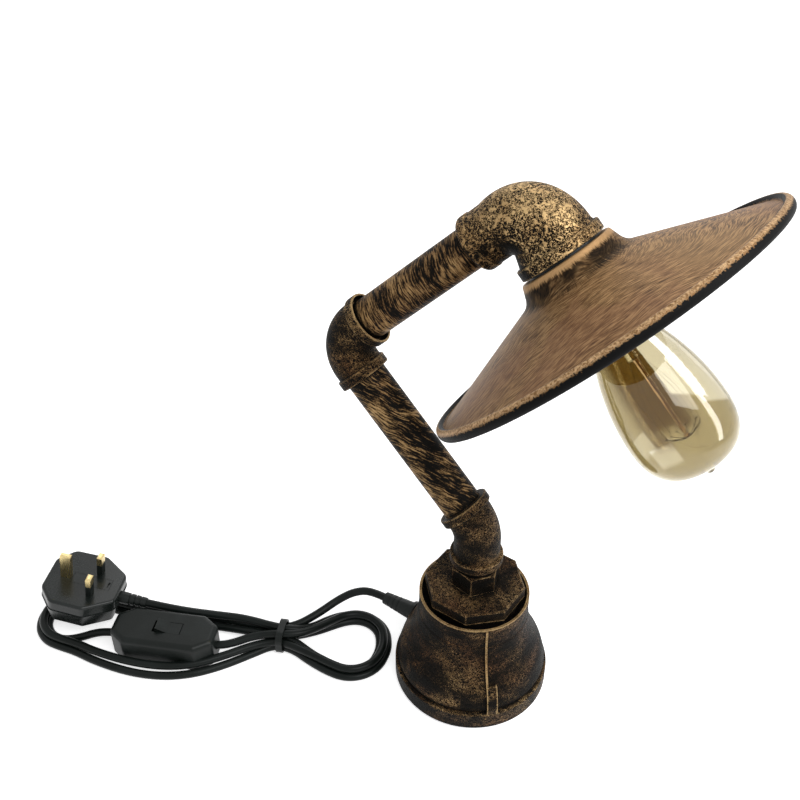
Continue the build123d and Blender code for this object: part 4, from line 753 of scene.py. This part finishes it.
class LAMP_OT_lead(bpy.types.Operator):
    """Lays the mains lead in its tied hank, through the switch to the plug"""

    bl_idname = "lamp.lead"
    bl_label = "Mains lead"

    TIE = Vector((-0.128, -0.058, 0.0))
    TIE_TURN = radians(24.0)

    ON_TABLE = 3.1          # millimetres up to the middle of a lead that lies on the table

    # millimetres: along the hank towards the lamp, across it away from its front, and up where it is lifted
    LAMP_ROUTE = (
        (72.92, 31.02, 30), (61.04, 36.31, 30), (48, 37.6, 25.5), (36, 33, 19.5), (23, 20.5, 15.2),
        (9, 9.8, 11.6), (-5, 6.2, 9.7), (-22, 7.5, 8.9), (-50, 10, 8.2), (-80, 10.3, 8.2),
        (-110, 10.2, 8.2), (-130, 12, 8.2), (-148, 15.8, 8.2), (-162, 17.3, 8.3), (-173.4, 14.2, 8.3),
        (-181.7, 5.9, 8.3), (-184.8, -5.5, 8.3), (-181.7, -16.9, 8.3), (-173.4, -25.2, 8.3),
        (-162, -28.3, 8.3), (-149, -30.5, 8.2), (-132, -35.5, 7.9), (-107, -39.8, 7.6), (-82, -40.5, 7.5),
        (-60, -36, 7.4), (-40, -25.5, 8), (-20, -12.5, 9.2), (-5, -6.3, 9.7), (6, -6.8, 9.6),
        (17, -10.3, 9.3), (30, -14.7, 8.7), (41.2, -19, 8.3), (52.6, -22.2, 8.3), (64, -19.2, 8.3),
        (72.3, -10.9, 8.3), (75.4, 0.5, 8.3), (75.4, 9.4, 8.3), (72.3, 20.4, 8.3), (63.7, 28.6, 8.3),
        (52.6, 31.4, 8.4), (42, 27.8, 9), (33.5, 19, 10.6), (23.5, 8, 12.8), (12, -1, 14.3),
        (-4, -3, 14.9), (-20, -7.5, 14), (-33, -14.5, 12), (-44, -18, 11), (-55, -18, 11))
    PLUG_ROUTE = (
        (-112, -18, 11), (-126, -18, 11), (-138, -19, 9.2), (-150, -22.8, 5.5), (-162, -25.1, 3.4),
        (-171.8, -22.5), (-179, -15.3), (-181.6, -5.5), (-179, 4.3), (-171.8, 11.5), (-162, 14.1),
        (-148, 12.5), (-130, 8.7), (-100, 6.6), (-72, 6.3), (-48, 5, 4.5), (-25, 1.5, 8), (-5, 0, 9.7),
        (8, -1.6, 8.8), (22, -8, 4.8), (33, -12.5, 3.4), (42.8, -16.5), (52.6, -19.1), (62.4, -16.5),
        (69.6, -9.3), (72.2, 0.5), (72.2, 9.4), (69.6, 19.2), (62.4, 26.4), (52.6, 29), (42.8, 26.4),
        (33.5, 20.5), (24, 14, 3.2), (10, 6, 4.2), (-5, 3, 4.5), (-25, 8.5, 3.6), (-50, 13), (-80, 13.4),
        (-110, 13.4), (-130, 15.5), (-148, 19), (-162, 20.5), (-175, 17), (-184.5, 7.5), (-188, -5.5),
        (-184.5, -18.5), (-175, -28), (-162, -31.5), (-149, -34), (-132, -40), (-105, -45.7), (-80, -46),
        (-58, -40.5), (-38, -29.5), (-20, -16, 3.4), (-5, -5, 4.4), (10, -7, 4), (24, -15), (39.7, -22.3),
        (52.6, -25.4), (65.5, -21.9), (75, -12.5), (78.5, 0.5), (78.5, 9.4), (75, 22.4), (65.5, 31.8),
        (52.6, 35.3), (39.7, 31.8, 4), (30, 23, 7), (20, 11.3, 9.5), (9, 3.7, 13.8), (-5, 3, 14.9),
        (-30, 7.5, 14.9), (-52, 7, 15.2), (-76.5, 5.2, 17.4), (-101.2, 4, 21.6), (-122.9, 4, 25.0))
    LAMP_LENGTH = 0.744
    PLUG_LENGTH = 1.207

    def execute(self, context):
        lead = context.scene.lamp_lead
        sheath, shader = even_finish("lead_sheath", lead.sheath, lead.sheen, 0.3, 700.0, 0.00006)
        shader["Specular IOR Level"].default_value = 0.13
        dress(["flex_base", "flex_lower", "flex_upper", "flex_head"], sheath)
        switch = ["switch_base", "switch_cover", "switch_terminals", "switch_contacts", "switch_screws",
                  "rocker_pin", "rocker"]
        plug = ["plug_base", "plug_cover", "plug_cord_guard", "earth_pin", "line_pin", "neutral_pin",
                "pin_sleeves", "fuse_carrier", "fuse_body", "fuse_caps"]
        self.lay("lamp_lead", self.LAMP_ROUTE, sheath, lead, ["cord_lamp_lead", "cord_hank"],
                 self.LAMP_LENGTH, "fitting", ["strain_relief", "gland_nut", "cord_tie", *switch])
        self.lay("plug_lead", self.PLUG_ROUTE, sheath, lead, ["cord_plug_lead"],
                 self.PLUG_LENGTH, "plug", plug)
        return {"FINISHED"}

    def hank_point(self, along, across, height=ON_TABLE):
        """A point of the hank's own frame in the lamp's frame, in metres."""
        step = Vector((cos(self.TIE_TURN), sin(self.TIE_TURN), 0)) * along
        side = Vector((-sin(self.TIE_TURN), cos(self.TIE_TURN), 0)) * across
        return self.TIE + (step + side + UP * height) * MM

    def lay(self, name, route, sheath, lead, stands_for, length, far_end, with_pieces):
        curve = bpy.data.curves.new(name, "CURVE")
        curve.dimensions = "3D"
        curve.bevel_depth = lead.diameter / 2
        curve.bevel_resolution = 5
        curve.resolution_u = 8
        curve.use_fill_caps = True
        spline = curve.splines.new("NURBS")
        spline.points.add(len(route) - 1)
        for point, place in zip(spline.points, route):
            point.co = (*self.hank_point(*place), 1.0)
        spline.order_u = 3
        spline.use_endpoint_u = True
        curve.materials.append(sheath)
        piece = new_object(name, curve)
        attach(piece, "base")
        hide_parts(*stands_for)


class LAMP_OT_mouldings(bpy.types.Operator):
    """Finishes the plastic of the plug, switch and holder, and the foam of the foot pad"""

    bl_idname = "lamp.mouldings"
    bl_label = "Plastic mouldings"

    def execute(self, context):
        lead = context.scene.lamp_lead
        satin, shader = even_finish("satin_moulding", lead.sheath, lead.sheen, 0.36, 1100.0, 0.00008)
        shader["Specular IOR Level"].default_value = 0.2
        dress(["switch_base", "switch_cover", "rocker", "strain_relief", "gland_nut", "cord_tie",
               "holder_cap", "holder_skirt", "shade_spacer", "plug_cord_guard", "pin_sleeves"],
              satin)
        gloss, shader = even_finish("gloss_moulding", lead.sheath, lead.sheen, 0.26, 900.0, 0.00004)
        shader["Specular IOR Level"].default_value = 0.25
        shader["Coat Weight"].default_value = 0.1
        dress(["plug_base", "plug_cover", "fuse_carrier"], gloss)
        foam, _ = even_finish("foam_rubber", (0.02, 0.02, 0.02), (0.035, 0.034, 0.033), 0.85, 1600.0, 0.0003)
        dress(["foot_pad"], foam)
        return {"FINISHED"}


class LAMP_OT_hardware(bpy.types.Operator):
    """Finishes the bare metal, the ceramic and the black glass"""

    bl_idname = "lamp.hardware"
    bl_label = "Metal hardware"

    def execute(self, context):
        pin_axis = Vector(joints["fuse_drawer_pull"]["axis"]).normalized()
        brass = drawn_finish("pin_brass", (0.62, 0.46, 0.19), (0.86, 0.71, 0.38), pin_axis, 0.26)
        dress(["earth_pin", "line_pin", "neutral_pin"], brass)
        sheet_brass = drawn_finish("sheet_brass", (0.55, 0.40, 0.16), (0.75, 0.60, 0.30), HEAD_DIR, 0.34)
        dress(["screw_shell", "centre_contact", "cap_contact", "switch_terminals", "switch_contacts"],
              sheet_brass)
        cap_metal = drawn_finish("cap_metal", (0.60, 0.50, 0.30), (0.76, 0.68, 0.48), HEAD_DIR, 0.3)
        dress(["bulb_cap"], cap_metal)
        zinc = drawn_finish("zinc_plate", (0.42, 0.43, 0.45), (0.62, 0.62, 0.60), UP, 0.36)
        dress(["base_plate", "threaded_tube", "lock_nut", "head_plug", "switch_screws", "holder_screws",
               "rocker_pin", "fuse_caps"], zinc)
        glaze, shader = even_finish("white_glaze", (0.80, 0.79, 0.74), (0.88, 0.87, 0.83),
                                    0.2, 500.0, 0.00004)
        shader["Coat Weight"].default_value = 0.4
        dress(["holder_insert", "fuse_body"], glaze)
        vitrite, _ = even_finish("black_vitrite", (0.012, 0.011, 0.016), (0.03, 0.026, 0.04),
                                 0.14, 600.0, 0.00003)
        dress(["cap_insulator"], vitrite)
        return {"FINISHED"}


class LAMP_OT_castings(bpy.types.Operator):
    """Finishes the cast fittings in wrinkled black rubbed with bronze"""

    bl_idname = "lamp.castings"
    bl_label = "Cast fittings"

    def execute(self, context):
        bronze = context.scene.lamp_bronze
        base = casting_finish("cast_base", bronze, bronze.base_rub, -0.05, 0.0)
        dress(["base_bell", "octagon_bushing", "hex_nipple"], base)
        bends = casting_finish("cast_bends", bronze, bronze.bend_rub, -0.03, 0.0)
        dress(["elbow_45", "elbow_90"], bends)
        head = casting_finish("cast_head", bronze, bronze.head_rub, 0.1, 1.0)
        dress(["head_elbow"], head)
        return {"FINISHED"}


class LAMP_OT_pipes(bpy.types.Operator):
    """Finishes the two pipes in bronze wiped round them"""

    bl_idname = "lamp.pipes"
    bl_label = "Pipes"

    def execute(self, context):
        bronze = context.scene.lamp_bronze
        lower = pipe_finish("wiped_lower_pipe", bronze, LOW_BEND, LOWER_DIR, radians(26.0), bronze.pipe_rub)
        dress(["lower_pipe"], lower)
        upper = pipe_finish("wiped_upper_pipe", bronze, MID_BEND, UPPER_DIR, radians(82.0),
                            bronze.pipe_rub + 0.1)
        dress(["upper_pipe"], upper)
        return {"FINISHED"}


class LAMP_OT_shade(bpy.types.Operator):
    """Finishes the shade: brushed outside, bright bead, black inside"""

    bl_idname = "lamp.shade"
    bl_label = "Shade"

    def execute(self, context):
        scene = context.scene
        dress(["shade"], shade_finish("brushed_shade", scene.lamp_bronze, scene.lamp_shade))
        return {"FINISHED"}


class LAMP_OT_bulb(bpy.types.Operator):
    """Finishes the bulb and makes its hooks and filament strands"""

    bl_idname = "lamp.bulb"
    bl_label = "Bulb"

    HOOK_EYE, STRAND_EYE = 0.0009, 0.0002
    TURN = 0.3                  # of the first wire round the post, in radians
    DROP = 0.42                 # of a tip from the end of the post, as a share of a hook's length

    def execute(self, context):
        bulb = context.scene.lamp_bulb
        dress(["bulb_glass"], envelope_finish("smoky_envelope", bulb))
        dress(["bulb_stem"], stem_finish("pressed_stem", (0.80, 0.72, 0.50)))
        dress(["support_post"], stem_finish("amber_post", (0.75, 0.32, 0.05)))
        wire, _ = even_finish("drawn_wire", (0.05, 0.032, 0.018), (0.10, 0.06, 0.03),
                              0.4, 2000.0, 0.00001, 0.8)
        crown = new_wire_crown()
        heading = HEAD_DIR.to_track_quat("Z", "X").to_euler()
        post_end = TOP_BEND + HEAD_DIR * (CAP_TIP + POST_END)
        reach = bulb.hook_reach
        drop = reach * self.DROP
        hooks = grown("hook_crown", crown, {
            "Count": bulb.hook_count, "Root": (0.0006, 0, 0), "Bow": (reach * 0.6, 0, -reach * 0.12),
            "Tip": (reach, 0, -drop), "Wire": bulb.hook_wire, "Eye": self.HOOK_EYE, "Least": 0.72,
            "Turn": self.TURN, "Seed": 4, "Place": post_end, "Heading": heading, "Finish": wire})
        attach(hooks, "bulb")
        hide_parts("support_hooks")
        length = POST_END - STEM_END
        strands = grown("filament_strands", crown, {
            "Count": bulb.strand_count, "Root": (0.0035, 0, -length),
            "Bow": (reach * 1.25, 0, -length * 0.45), "Tip": (reach * 0.92, 0, -drop),
            "Wire": bulb.strand_wire, "Eye": self.STRAND_EYE, "Least": 0.97,
            "Turn": self.TURN, "Seed": 9, "Place": post_end, "Heading": heading, "Finish": wire})
        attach(strands, "bulb")
        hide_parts("filament")
        return {"FINISHED"}


class LAMP_PT_panel(bpy.types.Panel):
    """Lists the lamp's operators and settings in the 3D view's sidebar"""

    bl_idname = "LAMP_PT_panel"
    bl_label = "Pipe Lamp"
    bl_space_type = "VIEW_3D"
    bl_region_type = "UI"
    bl_category = "Pipe Lamp"

    def draw(self, context):
        for operator in OPERATORS:
            self.layout.operator(operator.bl_idname)
        for name, settings in SETTINGS.items():
            box = self.layout.box()
            box.label(text=settings.__name__)
            for setting in settings.__annotations__:
                box.prop(getattr(context.scene, name), setting)


SETTINGS = {"lamp_bronze": LampBronzeSettings, "lamp_shade": LampShadeSettings, "lamp_bulb": LampBulbSettings,
            "lamp_lead": LampLeadSettings, "lamp_stage": LampStageSettings}
OPERATORS = (LAMP_OT_stage, LAMP_OT_lead, LAMP_OT_castings, LAMP_OT_pipes, LAMP_OT_shade, LAMP_OT_bulb,
             LAMP_OT_mouldings, LAMP_OT_hardware)


def register():
    for made in (*SETTINGS.values(), *OPERATORS, LAMP_PT_panel):
        bpy.utils.register_class(made)
    for name, settings in SETTINGS.items():
        setattr(bpy.types.Scene, name, PointerProperty(type=settings))


def unregister():
    for name in SETTINGS:
        delattr(bpy.types.Scene, name)
    for made in reversed((*SETTINGS.values(), *OPERATORS, LAMP_PT_panel)):
        bpy.utils.unregister_class(made)


def main():
    """Makes everything in order."""
    register()
    bpy.ops.lamp.stage()
    bpy.ops.lamp.lead()
    bpy.ops.lamp.castings()
    bpy.ops.lamp.pipes()
    bpy.ops.lamp.shade()
    bpy.ops.lamp.bulb()
    bpy.ops.lamp.mouldings()
    bpy.ops.lamp.hardware()


if __name__ == "__main__":
    main()
